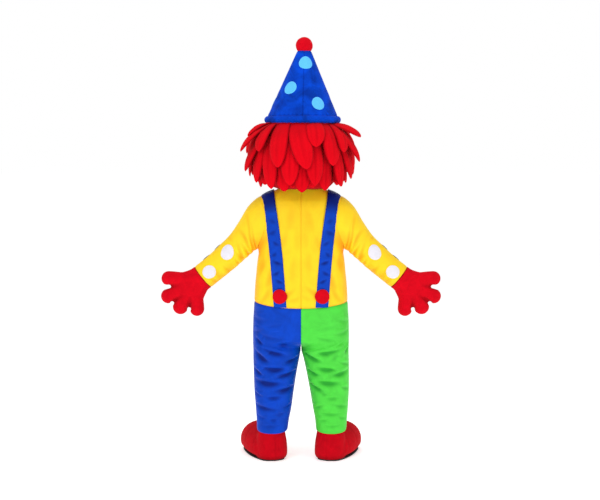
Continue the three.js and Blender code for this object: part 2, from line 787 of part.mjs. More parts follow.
const SHOE_TOP = 180;
const ANKLE_LEVELS = [SOLE + SEAM, 34, 100, 137, SHOE_TOP];
const FOOT_STATIONS = [-40, 20, 85, 145, 195, 235, 265, 286, 295];
function shoeForm(inset) {
  const levels = ANKLE_LEVELS.map((z, i) => (i ? z : z + inset));
  if (inset) levels.push(240);
  const heel = tube(inset ? 10 : 16, levels, (u, v) => {
    const p = moved(ankle, u, Math.min(v, SHOE_TOP), -inset);
    return p.setZ(v);
  });
  const stations = FOOT_STATIONS.slice(inset ? 1 : 0, inset ? -1 : undefined);
  const corners = inset ? 8 : 14;
  const toe = tube(corners, stations, (u, v) => moved(foot, u, v, -inset));
  return heel.add(toe);
}
const shoe = shoeForm(0)
  .subtract(shoeForm(SHOE_WALL))
  .intersect(block([-FAR, -FAR, SOLE + SEAM], [FAR, FAR, SHOE_TOP]));
add("shoe_left", shoe, RED);
add("shoe_right", mirrored(shoe), RED);

const outline = new THREE.Shape(
  [1, -1].flatMap((side) => {
    const count = 14;
    const list = steps(0, 180, count).map((a) => {
      const s = 106.5 - 180.5 * Math.cos(a * DEG);
      const wide = read(SOLE_OUTLINE, side > 0 ? "outer" : "inner", s);
      const p = onShoe(s, side * wide, 0);
      return new THREE.Vector2(p.x, p.y);
    });
    return side > 0 ? list : list.reverse().slice(1, -1);
  }),
);
const sole = solid(
  new THREE.ExtrudeGeometry(outline, { depth: SOLE, bevelEnabled: false }),
);
add("sole_left", sole, BLACK);
add("sole_right", mirrored(sole), BLACK);

// Head

// The head is round in plan, with these radii from the neck to the crown.
const HEAD_LOW = 1367;
const HEAD = [
  { z: HEAD_LOW, round: 112 },
  { z: 1370, round: 128 },
  { z: 1380, round: 147 },
  { z: 1405, round: 169 },
  { z: 1445, round: 192 },
  { z: 1500, round: 208 },
  { z: 1560, round: 213 },
  { z: 1620, round: 206 },
  { z: 1660, round: 191 },
  { z: 1685, round: 175 },
  { z: 1700, round: 162 },
  { z: 1722, round: 140 },
  { z: 1742, round: 104 },
  { z: 1754, round: 60 },
  { z: 1758, round: 12 },
];
const HEAD_CORNERS = 20;

// u is 0 at the wearer's left and 90 degrees behind.
function head(u, v) {
  const r = read(HEAD, "round", v);
  return new THREE.Vector3(r * Math.cos(u), r * Math.sin(u), v);
}

// The rings include the heights where the wig's strips are glued on.
const HEAD_LEVELS = [
  HEAD_LOW, 1380, 1408, 1450, 1500, 1545, 1610, 1660, 1683, 1725, 1758,
];
const headForm = (out) =>
  tube(HEAD_CORNERS, HEAD_LEVELS, (u, v) => moved(head, u, v, out));
const headRoom = tube(
  12,
  [1330, HEAD_LOW, 1400, 1480, 1590, 1670, 1715],
  (u, v) => moved(head, u, Math.max(v, HEAD_LOW), -HEAD_WALL).setZ(v),
);
const headShell = headForm(0).subtract(headRoom).subtract(torsoForm(SEAM));
add("head_shell", headShell, SKIN);

// A plain face, in front where the photograph doesn't look
const FACE = -90 * DEG;
const across = (x, z) => FACE + Math.asin(x / read(HEAD, "round", z));
const EYE = { z: 1572, x: 74, wide: 34, tall: 46 };
const LIFT_EYE = 0.8;
[
  ["left", 1],
  ["right", -1],
].forEach(([side, sign]) => {
  const u = across(sign * EYE.x, EYE.z);
  const eyeSize = { wide: EYE.wide, tall: EYE.tall, lift: LIFT_EYE, thick: 3 };
  const eye = patch(head, u, EYE.z, eyeSize);
  add(`eye_${side}`, eye, WHITE);
  const pupil = patch(
    head,
    across(sign * (EYE.x - 6), EYE.z - 6),
    EYE.z - 6,
    { wide: 15, tall: 21, lift: LIFT_EYE + 3 + SEAM, thick: 2, corners: 10 },
  );
  add(`pupil_${side}`, pupil, BLACK);
});

const NOSE = { z: 1512, radius: 36, out: 20 };
const noseBall = new THREE.SphereGeometry(NOSE.radius, 12, 8);
noseBall.translate(0, -read(HEAD, "round", NOSE.z) - NOSE.out, NOSE.z);
add("nose", solid(noseBall).subtract(headForm(SEAM)), RED);

const MOUTH = { z: 1440, half: 62, rise: 20, tall: 9 };
const mouth = strip(
  steps(-1, 1, 10),
  [-1, 1],
  (u, v) => {
    const x = MOUTH.half * u;
    const tall = MOUTH.tall * Math.sqrt(Math.max(0.04, 1 - u * u));
    const z = MOUTH.z + MOUTH.rise * u * u + tall * v;
    return head(across(x, z), z);
  },
  0.8,
  3,
);
add("mouth", mouth, RED);

// Wig

// Each tier is a strip glued round the back of the head, with its locks hanging from it.
// root is the strip's height, bend how far down the locks' bend lies as a share, and bulge
// how far it stands out from a straight line. Each lock's root and tip lie at turn and
// tipTurn, in degrees from the middle of the back to the wearer's left, and the tip at the
// height tip, out from the head's centre line.
const lockOf = ([turn, tipTurn, tip, out, wide]) => ({
  turn, tipTurn, tip, out, wide,
});
const TIERS = [
  {
    root: 1683, bend: 0.4, bulge: 10,
    locks: [
      [-20, -16, 1578, 262, 106], [68, 70.5, 1629, 276, 92], [-66, -69, 1625, 312, 94],
      [108, 112, 1642, 264, 88], [-110, -114, 1636, 266, 88],
    ].map(lockOf),
  },
  {
    root: 1660, bend: 0.46, bulge: 18,
    locks: [
      [64, 68, 1555, 318, 100], [54, 48, 1556, 276, 108], [30, 24, 1480, 274, 112],
      [4, -5.5, 1472, 276, 122], [-40, -34, 1488, 274, 114], [-59, -47, 1552, 282, 106],
      [-62, -67, 1505, 310, 104], [94, 96, 1545, 272, 94], [-95, -97, 1538, 268, 94],
      [110, 113, 1560, 262, 80], [-111, -115, 1552, 264, 80],
    ].map(lockOf),
  },
  {
    root: 1610, bend: 0.5, bulge: 12,
    locks: [
      [66, 67, 1459, 296, 98], [60, 56, 1404, 262, 96], [43, 34.5, 1376, 254, 100],
      [13, 12, 1394, 254, 106], [-16, -15.5, 1394, 254, 106], [-50, -48, 1388, 256, 100],
      [-62, -65, 1421, 270, 98], [86, 90, 1436, 240, 92], [-84, -88, 1440, 258, 92],
      [104, 108, 1450, 238, 84], [-104, -108, 1446, 240, 84],
    ].map(lockOf),
  },
  {
    root: 1545, bend: 0.53, bulge: -4,
    locks: [
      [28, 20, 1364, 236, 102], [-2, -1, 1360, 236, 98], [-33, -29.5, 1368, 236, 104],
      [54, 52, 1400, 226, 90], [-56, -54, 1402, 226, 90], [76, 76, 1404, 226, 88],
      [-76, -76, 1400, 228, 88], [98, 100, 1398, 214, 84], [-98, -100, 1402, 214, 84],
    ].map(lockOf),
  },
  {
    root: 1450, bend: 0.52, bulge: -2,
    locks: [
      [13, 11, 1374, 204, 92], [-17, -15, 1374, 204, 92], [60, 60, 1392, 204, 88],
      [-60, -60, 1390, 204, 88], [82, 84, 1378, 200, 84], [-82, -84, 1380, 200, 84],
    ].map(lockOf),
  },
];
const STRIP_TALL = 14;
const STRIP_THICK = 5;
const STRIP_LIFT = 0.7;
const LOCK_THICK = 19;
const ROOT_OUT = 8.4; // from the head to the middle of a lock's root
const SHORTEST_LOCK = 60;

// One lock: a leaf-shaped, stuffed pocket, three-sided, with its ridge outside. grow makes
// it a little larger.
const LEAF = [
  { t: 0, wide: 0.8, thick: 0.35 },
  { t: 0.3, wide: 0.98, thick: 0.95 },
  { t: 0.58, wide: 0.98, thick: 1 },
  { t: 0.82, wide: 0.66, thick: 0.75 },
  { t: 1, wide: 0.05, thick: 0.1 },
];
function lock({ root, bend, bulge }, { turn, tipTurn, tip, out, wide }, grow) {
  const rootOut = read(HEAD, "round", root) + ROOT_OUT;
  const bendOut = (rootOut + out) / 2 + bulge;
  const bendZ = root + bend * (tip - root);
  // The lock's middle line is a curve through its root, bend and tip.
  const line = (t) => {
    const a = (1 - t) * (1 - 2 * t);
    const b = 4 * t * (1 - t);
    const c = t * (2 * t - 1);
    return [
      a * rootOut + b * bendOut + c * out,
      a * root + b * bendZ + c * tip,
    ];
  };
  const ring = (u, v) => {
    const half = (read(LEAF, "wide", v) * (wide + 2 * grow)) / 2;
    const thick = (read(LEAF, "thick", v) * LOCK_THICK) / 2 + grow;
    const [r, z] = line(v);
    const [r2, z2] = line(v + 0.01);
    const slope = Math.hypot(r2 - r, z2 - z);
    const side = (Math.sin(u) / Math.sin(60 * DEG)) * half;
    const lift = Math.cos(u) * thick * 1.3;
    const turned = (90 - turn + (turn - tipTurn) * v) * DEG + side / (r + 30);
    const radius = r - (lift * (z2 - z)) / slope - (side * side) / (14 * half + 60);
    return new THREE.Vector3(
      radius * Math.cos(turned),
      radius * Math.sin(turned),
      z + (lift * (r2 - r)) / slope,
    );
  };
  const past = grow / SHORTEST_LOCK;
  return tube(
    3,
    LEAF.map(({ t }) => t + (t > 0.5 ? past : -past)),
    ring,
  );
}

function rootStrip({ root, locks }, grow) {
  const half = STRIP_TALL / 2 + grow;
  const corner = 360 / HEAD_CORNERS;
  const reach = Math.round(Math.max(...locks.map((l) => l.turn)) / corner);
  return strip(
    steps(-reach, reach, 2 * reach).map((k) => (90 + k * corner) * DEG),
    [root - half, root + half],
    head,
    STRIP_LIFT - grow,
    STRIP_THICK + 2 * grow,
  );
}

const tierForm = (tier, grow) =>
  fuse([
    rootStrip(tier, grow),
    ...tier.locks.map((each) => lock(tier, each, grow)),
  ]);

// Hat

const BRIM = { round: 172, tube: 18, z: 1712 };
const HAT_BASE = BRIM.z + BRIM.tube * Math.sin(60 * DEG) + SEAM;
const HAT_TOP = 2053;
const HAT_SIDE = -8; // the hat sits a little towards the wearer's right
const HAT_LEAN = -8; // and its tip leans further that way
const HAT_BASE_RADIUS = 174.5;
const HAT_TOP_RADIUS = 33;
const HAT_CORNERS = 24;
const POMPOM = { radius: 42, z: 2077 };

const hatRadius = (z) =>
  HAT_TOP_RADIUS +
  ((HAT_BASE_RADIUS - HAT_TOP_RADIUS) * (HAT_TOP - z)) / (HAT_TOP - HAT_BASE);

const hatMiddle = (z) =>
  HAT_SIDE + (HAT_LEAN * (z - HAT_BASE)) / (HAT_TOP - HAT_BASE);

// u is 0 at the wearer's left and 90 degrees behind.
const hat = (u, v) =>
  new THREE.Vector3(
    hatMiddle(v) + hatRadius(v) * Math.cos(u),
    hatRadius(v) * Math.sin(u),
    v,
  );
const hatForm = (out, low, high) =>
  tube(HAT_CORNERS, [low, high], (u, v) => {
    const p = hat(u, v);
    return p.setX(p.x + out * Math.cos(u)).setY(p.y + out * Math.sin(u));
  });
const cone = hatForm(0, HAT_BASE, HAT_TOP).subtract(
  hatForm(-HAT_WALL, HAT_BASE - 20, HAT_TOP - HAT_WALL),
);
add("hat_cone", cone, HAT_BLUE);

const ring = new THREE.TorusGeometry(BRIM.round, BRIM.tube, 6, HAT_CORNERS);
ring.translate(HAT_SIDE, 0, BRIM.z);
const brim = solid(ring)
  .subtract(headForm(SEAM))
  .subtract(block([-FAR, -FAR, HAT_BASE - SEAM], [FAR, FAR, FAR]));
add("hat_brim", brim, HAT_BLUE);

const ball = new THREE.SphereGeometry(POMPOM.radius, 14, 9);
ball.rotateX(Math.PI / 2);
ball.translate(HAT_SIDE + HAT_LEAN, 0, POMPOM.z);
const pompom = solid(ball).subtract(
  block([-FAR, -FAR, 0], [FAR, FAR, HAT_TOP + SEAM]),
);
add("hat_pompom", pompom, RED);

// Dots on the hat: height, angle from the middle of the back towards the wearer's left
const HAT_DOTS = [
  { z: 1990, at: -8 },
  { z: 1866, at: 34 },
  { z: 1789, at: -30 },
  { z: 1796, at: 104 },
  { z: 1946, at: 158 },
  { z: 1836, at: -128 },
];
const HAT_DOT = { wide: 34, tall: 34, lift: 0.9, thick: 1.5, crown: 0 };
HAT_DOTS.forEach(({ z, at }, i) => {
  const dot = patch(hat, (90 - at) * DEG, z, HAT_DOT);
  add(`hat_dot_${i + 1}`, dot, SKY);
});

// The tiers lie over one another like feathers, each clear of the ones below
TIERS.forEach((row, i) => {
  let tier = tierForm(row, 0).subtract(headForm(SEAM));
  for (const below of TIERS.slice(i + 1))
    tier = tier.subtract(tierForm(below, SEAM));
  const largest = tier
    .decompose()
    .reduce((a, b) => (a.volume() > b.volume() ? a : b));
  add(`wig_tier_${i + 1}`, largest, WIG_RED);
});

const part = new THREE.Group();
part.add(group);
group.position.z = -HOLD_HEIGHT;

export default part;
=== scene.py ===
# %% [markdown]
# # A clown mascot costume, as it is worn and seen from behind
#
# The costume is a foam head with a layered fleece wig and a pointed hat, a one-piece suit
# with a yellow shirt and trousers in two colours, braces, mitten gloves and big round shoes.
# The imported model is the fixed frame. Every piece below is a surface worked out with numpy
# from short tables in millimetres above the floor, with the wearer's left side at +X and
# the back at +Y, and takes the place of the plain solid of the same piece.

import bmesh
import bpy
import numpy as np
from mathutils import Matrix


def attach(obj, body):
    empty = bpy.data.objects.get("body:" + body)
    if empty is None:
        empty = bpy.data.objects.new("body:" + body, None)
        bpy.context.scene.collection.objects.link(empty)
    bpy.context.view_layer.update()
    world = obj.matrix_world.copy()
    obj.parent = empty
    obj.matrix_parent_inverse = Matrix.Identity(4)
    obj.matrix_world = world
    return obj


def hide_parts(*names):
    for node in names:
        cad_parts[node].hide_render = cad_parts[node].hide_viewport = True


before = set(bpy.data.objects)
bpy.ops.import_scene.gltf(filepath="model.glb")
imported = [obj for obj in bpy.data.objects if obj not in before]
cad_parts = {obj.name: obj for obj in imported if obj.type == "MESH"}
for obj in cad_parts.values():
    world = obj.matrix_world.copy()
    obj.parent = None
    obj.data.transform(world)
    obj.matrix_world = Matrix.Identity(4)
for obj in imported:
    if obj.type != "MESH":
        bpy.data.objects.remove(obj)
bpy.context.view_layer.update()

# %% [markdown]
# ## The camera
#
# The photograph was taken from behind with a long lens, from 6.1 m away and a little above
# the middle of the costume. The costume's middle lies one pixel right of the picture's.

# %% Camera
FAR_BEHIND = 6.1  # metres from the wearer's middle
LEFT_OF_MIDDLE = 0.005
CAMERA_HEIGHT = 0.255  # above the wearer's shoulders
PITCH_DOWN = 5.04  # degrees
LENS = 73.2  # mm, on a frame 36 mm wide


def placed(name, data):
    """A new object in the scene that holds this camera, mesh or lamp."""
    thing = bpy.data.objects.new(name, data)
    bpy.context.scene.collection.objects.link(thing)
    return thing


camera = bpy.data.cameras.new("camera")
camera.lens = LENS
camera.sensor_width = 36.0
view = placed("camera", camera)
view.location = (LEFT_OF_MIDDLE, FAR_BEHIND, CAMERA_HEIGHT)
view.rotation_euler = np.radians((90.0 - PITCH_DOWN, 0.0, 180.0))
bpy.context.scene.camera = view
# The photograph's colours are strong, so they are shown as they are, with no film curve
bpy.context.scene.view_settings.view_transform = "Standard"
print("camera", FAR_BEHIND, "m behind")

# %% [markdown]
# ## Tables and surfaces
#
# A maker works from a few measured sections. Each table is a set of named columns, and a
# smooth curve runs through its rows. A surface is a function of two parameters, u round
# the piece and v along it, and cloth is laid on it or pushed off it along its normal.

# %% Reading a table, and moving off a surface
HOLD_HEIGHT = 1345.0  # the wearer's shoulders above the floor: the part's origin


def read(table, column, x):
    """A cubic curve through a column's rows at x. Its slope at a row is that of the line
    between the two rows beside it."""
    knots = np.array(next(iter(table.values())), float)
    values = np.array(table[column], float)
    here = np.arange(len(knots))
    before = np.maximum(here - 1, 0)
    after = np.minimum(here + 1, len(knots) - 1)
    slopes = (values[after] - values[before]) / (knots[after] - knots[before])
    x = np.clip(x, knots[0], knots[-1])
    i = np.clip(np.searchsorted(knots, x, side="right") - 1, 0, len(knots) - 2)
    width = knots[i + 1] - knots[i]
    t = (x - knots[i]) / width
    start = (2 * t**3 - 3 * t**2 + 1) * values[i] + (t**3 - 2 * t**2 + t) * width * slopes[i]
    return start + (3 * t**2 - 2 * t**3) * values[i + 1] + (t**3 - t**2) * width * slopes[i + 1]


def signed_power(a, p):
    """The size of a to the power p, with a's sign."""
    return np.sign(a) * np.abs(a) ** p


def smoothstep(a, b, x):
    """Rises smoothly from 0 at a to 1 at b, whichever of them is larger."""
    t = np.clip((x - a) / (b - a), 0, 1)
    return t * t * (3 - 2 * t)


def unit(vectors):
    """Each vector over its own length."""
    return vectors / np.maximum(np.linalg.norm(vectors, axis=-1, keepdims=True), 1e-9)


def normals_of(surface, u, v, h=1e-3):
    """The surface's outward direction: how it runs with u, crossed with how it runs with v."""
    du = surface(u + h, v) - surface(u - h, v)
    dv = surface(u, v + h) - surface(u, v - h)
    return unit(np.cross(du, dv))


def moved(surface, u, v, out):
    """The surface's point, moved out along its normal."""
    return surface(u, v) + np.asarray(out)[..., None] * normals_of(surface, u, v)


print("tables are read on cubic curves, in mm above the floor")

# %% [markdown]
# ## From a grid of points to a mesh
#
# A grid becomes quads whose corners run with u and then with v, so that they face out. The
# UV map holds the distances along the cloth in metres, for weaves and naps that follow it.

# %% Values along a surface
def even_steps(a, b, count, bunch=0.0):
    """count + 1 values from a to b. bunch draws them towards both ends, as a cosine does."""
    t = np.linspace(0, 1, count + 1)
    t = (1 - bunch) * t + bunch * (1 - np.cos(np.pi * t)) / 2
    return a + (b - a) * t


def full_turn(count):
    """count angles, spread evenly round a circle."""
    return np.linspace(0, 2 * np.pi, count + 1)[:-1]


def grid_of(*values):
    """A surface's parameters at every pairing of their values."""
    return np.meshgrid(*values, indexing="ij")


def in_part(points):
    """Millimetres above the floor to metres in the part's frame."""
    return (np.asarray(points, float) - [0.0, 0.0, HOLD_HEIGHT]) * 0.001


def run_of(points, axis):
    """Distance along one direction of the grid, from its first row."""
    step = np.linalg.norm(np.diff(points, axis=axis), axis=-1)
    start = np.zeros_like(np.take(step, [0], axis=axis))
    return np.concatenate([start, np.cumsum(step, axis=axis)], axis=axis)


print("a turn of 4:", np.degrees(full_turn(4)))

# %% Grid meshes
def set_painted_shade(mesh, values):
    """Writes how much painted shade each point gets, as the attribute fold."""
    spot = mesh.attributes.new("fold", "FLOAT", "POINT")
    spot.data.foreach_set("value", values.astype(np.float32))


def grid_mesh(name, points, wrap=False, keep=None, closed=False, fold=None):
    """One mesh from grids of shape (grids, around, along, 3). wrap joins the last column
    to the first, keep says which faces stay, and closed merges ends that meet in a point.
    fold is how much painted shade each point gets."""
    points = in_part(points)
    if points.ndim == 3:
        points = points[None]
    grids, around, along = points.shape[:3]
    columns = around if wrap else around - 1
    g, i, j = grid_of(np.arange(grids), np.arange(columns), np.arange(along - 1))
    corners = ((i, j), (i + 1, j), (i + 1, j + 1), (i, j + 1))
    faces = np.stack([(g * around + a % around) * along + b for a, b in corners], -1)
    ring = np.concatenate([points, points[:, :1]], axis=1) if wrap else points
    u, v = run_of(ring, 1), run_of(ring, 2)
    uv = np.stack([np.stack([u[g, a, b], v[g, a, b]], -1) for a, b in corners], -2)
    if keep is not None:
        faces, uv = faces[keep[None]], uv[keep[None]]
    used, index = np.unique(faces.reshape(-1, 4), return_inverse=True)
    mesh = bpy.data.meshes.new(name)
    mesh.from_pydata(points.reshape(-1, 3)[used].tolist(), [], index.reshape(-1, 4).tolist())
    layer = mesh.uv_layers.new(name="cloth")
    layer.data.foreach_set("uv", uv.reshape(-1).astype(np.float32))
    if fold is not None:
        set_painted_shade(mesh, fold.reshape(-1)[used])
    if closed:
        close(mesh)
    mesh.shade_smooth()
    return placed(name, mesh)


def close(mesh):
    """Merges points that meet, drops faces with no area and turns the rest outwards."""
    work = bmesh.new()
    work.from_mesh(mesh)
    bmesh.ops.remove_doubles(work, verts=work.verts, dist=1e-6)
    bmesh.ops.dissolve_degenerate(work, edges=work.edges, dist=1e-7)
    bmesh.ops.recalc_face_normals(work, faces=work.faces)
    work.to_mesh(mesh)
    work.free()


def capped(points):
    """Adds a row at each end of a tube's grid, or of several, that gathers the ring in its
    middle."""
    ends = [points[..., k, :].mean(-2, keepdims=True)[..., None, :] for k in (0, -1)]
    ends = [np.broadcast_to(end, points[..., :1, :].shape) for end in ends]
    return np.concatenate([ends[0], points, ends[1]], axis=-2)


def wall(piece, thick):
    """Gives a cloth its thickness, in mm, inwards."""
    solid = piece.modifiers.new("wall", "SOLIDIFY")
    solid.thickness = thick * 0.001
    solid.offset = -1.0


print("cloth walls turn inwards from the seen face")

# %% [markdown]
# ## Folds
#
# Satin over a padded body crumples in short leaf-shaped troughs: deep and wide in their
# middle, pointed at their ends, with a soft ridge above. Each row of a fold table is one
# trough: where it lies along and up the cloth, half its length, its width
# and depth, how it tilts, and how far its middle sags.

# %% Fold tables
FOLD_COLUMNS = ("along", "height", "half", "wide", "deep", "tilt", "sag")


def folds(rows, along, height):
    """Sums the troughs. Each is turned by its tilt; along it the depth falls as a squared
    cosine, and across it as a bell curve with a lower bell, turned up, beside it."""
    total = np.zeros(np.broadcast(along, height).shape)
    for row in rows:
        fold = dict(zip(FOLD_COLUMNS, row))
        turn = np.radians(fold["tilt"])
        right, up = along - fold["along"], height - fold["height"]
        reach = (right * np.cos(turn) + up * np.sin(turn)) / fold["half"]
        away = up * np.cos(turn) - right * np.sin(turn) + fold["sag"] * (1 - reach**2)
        taper = np.cos(np.clip(reach, -1, 1) * np.pi / 2)
        wide = fold["wide"] * (0.35 + 0.65 * taper)
        bell = np.exp(-((away / wide) ** 2)) - 0.5 * np.exp(-((away / wide - 1.75) ** 2))
        total -= fold["deep"] * taper**1.5 * bell
    return total


print("a fold is", FOLD_COLUMNS)

# %% [markdown]
# ## Materials
#
# The costume is made of four kinds of cloth: brushed plush satin for the suit, velour for
# the hat, fleece for the wig, gloves, shoes and dots, and a firm rubber for the soles. A
# short pile scatters light at grazing angles, which the sheen gives. Its tufts are under
# half a millimetre apart, too fine to show from 6 m, so they are drawn 1.5 to 3 mm apart.

# %% Colours and nodes
def linear(hex_colour):
    """An sRGB hex colour as the linear values that a shader reads."""
    s = np.array([int(hex_colour[k : k + 2], 16) for k in (1, 3, 5)]) / 255
    low, high = s / 12.92, ((s + 0.055) / 1.055) ** 2.4
    return (*np.where(s <= 0.04045, low, high), 1.0)


def add_node(material, kind, settings=None, **links):
    """Adds a node. settings are its own options or its sockets' values, and links join a
    socket, named with _ for a space, to another node's output."""
    node = material.node_tree.nodes.new(kind)
    for name, value in (settings or {}).items():
        if hasattr(node, name):
            setattr(node, name, value)
        else:
            node.inputs[name].default_value = value
    for name, source in links.items():
        material.node_tree.links.new(source, node.inputs[name.replace("_", " ")])
    return node


def new_material(name):
    """An empty material with its shader and output joined."""
    material = bpy.data.materials.new(name)
    material.use_nodes = True
    shader = next(n for n in material.node_tree.nodes if n.type == "BSDF_PRINCIPLED")
    return material, shader


def pile_cloth(name, colour, deep, sway, tuft, bump, patch, **finish):
    """A cloth with a pile. colour is its own and deep the painted shade colour, which the
    fold attribute mixes in. sway is by how much it looks lighter or darker where the pile
    is stroked one way or the other, as a share. tuft and patch are the sizes of the tufts
    and of the stroked patches, in mm, and bump is how strongly the tufts catch the light."""
    material, shader = new_material(name)
    join = material.node_tree.links.new
    place = add_node(material, "ShaderNodeTexCoord").outputs["Object"]
    strokes = add_node(
        material, "ShaderNodeTexNoise",
        {"Scale": 1000 / patch, "Detail": 4.0, "Roughness": 0.6, "Distortion": 0.6},
        Vector=place,
    )
    tones = add_node(material, "ShaderNodeValToRGB", Fac=strokes.outputs["Fac"])
    ramp = tones.color_ramp
    own = np.array(linear(colour))
    ramp.elements[0].position, ramp.elements[0].color = 0.32, own * (1 - sway)
    ramp.elements[1].position, ramp.elements[1].color = 0.68, own * (1 + sway)
    # Painted shade: the fold attribute mixes the colour towards the darker deep colour
    fold = add_node(material, "ShaderNodeAttribute", {"attribute_name": "fold"})
    shade = add_node(
        material, "ShaderNodeMix", {"data_type": "RGBA"}, Factor=fold.outputs["Fac"]
    )
    # A colour mix takes its two colours at sockets 6 and 7 and gives the mixed one at 2
    join(tones.outputs["Color"], shade.inputs[6])
    shade.inputs[7].default_value = linear(deep)
    join(shade.outputs[2], shader.inputs["Base Color"])
    tufts = add_node(
        material, "ShaderNodeTexNoise",
        {"Scale": 1000 / tuft, "Detail": 3.0, "Roughness": 0.7},
        Vector=place,
    )
    relief = add_node(
        material, "ShaderNodeBump",
        {"Strength": bump, "Distance": 0.001},
        Height=tufts.outputs["Fac"],
    )
    join(relief.outputs["Normal"], shader.inputs["Normal"])
    for socket, value in finish.items():
        shader.inputs[socket.replace("_", " ")].default_value = value
    return material


# In each cloth below, the second colour is the painted shade that the fold attribute mixes in
# Plush satin, polyester, brushed: a soft gleam on ridges, matt between them
YELLOW_SATIN = pile_cloth(
    "yellow_plush_satin", "#ffd418", "#f59c04", 0.06, 1.6, 0.25, 90.0,
    Roughness=0.6, Sheen_Weight=0.06, Sheen_Roughness=0.4, Specular_IOR_Level=0.25,
)
BLUE_SATIN = pile_cloth(
    "blue_plush_satin", "#0040ba", "#001066", 0.14, 1.6, 0.25, 60.0,
    Roughness=0.5, Sheen_Weight=0.02, Sheen_Roughness=0.35, Specular_IOR_Level=0.10,
)
GREEN_SATIN = pile_cloth(
    "green_plush_satin", "#4bd43f", "#129022", 0.08, 1.6, 0.25, 60.0,
    Roughness=0.5, Sheen_Weight=0.03, Sheen_Roughness=0.35, Specular_IOR_Level=0.2,
)
# Velour, knitted and sheared: patches of nap turn lighter or darker
BLUE_VELOUR = pile_cloth(
    "blue_velour", "#0040be", "#001c78", 0.34, 1.5, 0.35, 80.0,
    Roughness=0.8, Sheen_Weight=0.03, Sheen_Roughness=0.35, Specular_IOR_Level=0.06,
)
# Fleece, napped polyester: matt, fuzzy, light edges
RED_FLEECE = pile_cloth(
    "red_fleece", "#d2051a", "#86020c", 0.11, 2.4, 0.6, 38.0,
    Roughness=0.9, Sheen_Weight=0.02, Sheen_Roughness=0.5, Specular_IOR_Level=0.05,
)
WIG_FLEECE = pile_cloth(
    "red_wig_fleece", "#de0517", "#7c0009", 0.06, 2.4, 0.6, 60.0,
    Roughness=0.9, Sheen_Weight=0.02, Sheen_Roughness=0.5, Specular_IOR_Level=0.04,
)
WHITE_FLEECE = pile_cloth(
    "white_fleece", "#e4e1ea", "#cfcad8", 0.03, 2.4, 0.6, 20.0,
    Roughness=0.9, Sheen_Weight=0.1, Sheen_Roughness=0.5, Specular_IOR_Level=0.15,
)
NAVY_FLEECE = pile_cloth(
    "navy_fleece", "#131d58", "#0b1238", 0.12, 2.4, 0.6, 20.0,
    Roughness=0.9, Sheen_Weight=0.15, Sheen_Roughness=0.5, Specular_IOR_Level=0.15,
)
SKY_FLEECE = pile_cloth(
    "sky_fleece", "#5dc0f8", "#45abea", 0.05, 2.4, 0.6, 16.0,
    Roughness=0.9, Sheen_Weight=0.1, Sheen_Roughness=0.5, Specular_IOR_Level=0.15,
)
SKIN_FLEECE = pile_cloth(
    "skin_fleece", "#eec49f", "#d9a47c", 0.04, 2.4, 0.5, 50.0,
    Roughness=0.9, Sheen_Weight=0.15, Sheen_Roughness=0.5, Specular_IOR_Level=0.15,
)
BLACK_FELT = pile_cloth(
    "black_felt", "#161418", "#0b0a0c", 0.2, 1.8, 0.6, 20.0,
    Roughness=0.95, Sheen_Weight=0.1, Sheen_Roughness=0.5, Specular_IOR_Level=0.1,
)
# Sole rubber, moulded: dull, with fine grit of about 1 mm
SOLE_RUBBER = pile_cloth(
    "sole_rubber", "#171517", "#0e0d0f", 0.15, 1.2, 0.5, 30.0,
    Roughness=0.6, Specular_IOR_Level=0.4,
)
print(len(bpy.data.materials), "materials")

# %% [markdown]
# ## Dressing a piece
#
# Each piece rides on the costume's one body, takes the place of its plain solids and gets
# its finish. A cloth's cut is its own measured area over its length.

# %% Dressing and cutting
def dress(piece, material, slot, *nodes):
    """Gives a piece its finish and its body, and hides the plain solids it stands for. slot is
    not used.
    """
    piece.data.materials.append(material)
    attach(piece, "root")
    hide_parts(*nodes)


def cut_of(points):
    """Width and length, in metres, of the flat cloth that a grid takes: the sum of its
    faces' areas over its mean length along v."""
    across = points[1:, 1:] - points[:-1, :-1]
    other = points[:-1, 1:] - points[1:, :-1]
    area = np.linalg.norm(np.cross(across, other), axis=-1).sum() / 2e6
    long = run_of(points, 1)[:, -1].mean() / 1000
    return area / long, long


# %% [markdown]
# ## Shirt
#
# The shirt hangs over a padded body. A level section of the body is a superellipse, whose
# exponent of 2.5 gives its flat back and rounded sides. The sleeves are sewn in at an
# angle, and the plush rounds off the corner between the two, so both are drawn towards
# each other near the armhole, along the direction halfway between their normals.

# %% Body and sleeve
TORSO = {
    "z": [780, 900, 1000, 1090, 1200, 1270, 1310, 1332, 1347, 1359, 1368, 1376],
    "wide": [236, 229, 218, 208, 205, 206, 202, 191, 165, 137, 117, 103],
    "deep": [167, 163, 157, 149, 139, 126, 112, 98, 88, 81, 76, 71],
}
BODY_SQUARENESS = 2.5
WAIST_BACK = 787.0
WAIST_RISE = 20.0  # how much higher the waist seam is at the sides
SEAM_FROM = 1000.0  # the height below which the shirt's rows bend with the waist seam
SEAM_GAP = 0.2  # from the waist seam to either cloth's edge
SEAM_DEEP, SEAM_WIDE = 3.0, 7.0  # how the cloth dips at the waist seam
NECK_TOP = 1376.0
SLEEVE = {
    "row": [0, 1, 2, 3, 4, 5, 6, 7],
    "up_x": [150, 203, 262, 312, 357, 408, 471, 533],
    "up_z": [1328, 1326, 1283, 1203, 1138, 1087, 1028, 979],
    "low_x": [150, 204, 224, 250, 286, 332, 388, 450],
    "low_z": [1085, 1086, 1068, 1044, 1012, 971, 926, 876],
    "deep": [94, 94, 90, 80, 72, 68, 64, 61],
}


def torso(u, v):
    """A superellipse at each height: a cosine and a sine, each to the power 2 over 2.5.
    u is 0 at the wearer's left and a right angle behind."""
    p = 2 / BODY_SQUARENESS
    x = read(TORSO, "wide", v) * signed_power(np.cos(u), p)
    y = read(TORSO, "deep", v) * signed_power(np.sin(u), p)
    return np.stack([x, y, v + 0 * u], -1)


def waist_height(x):
    """The seam's height, which grows with the square of the distance from the middle."""
    return WAIST_BACK + WAIST_RISE * (x / TORSO["wide"][0]) ** 2


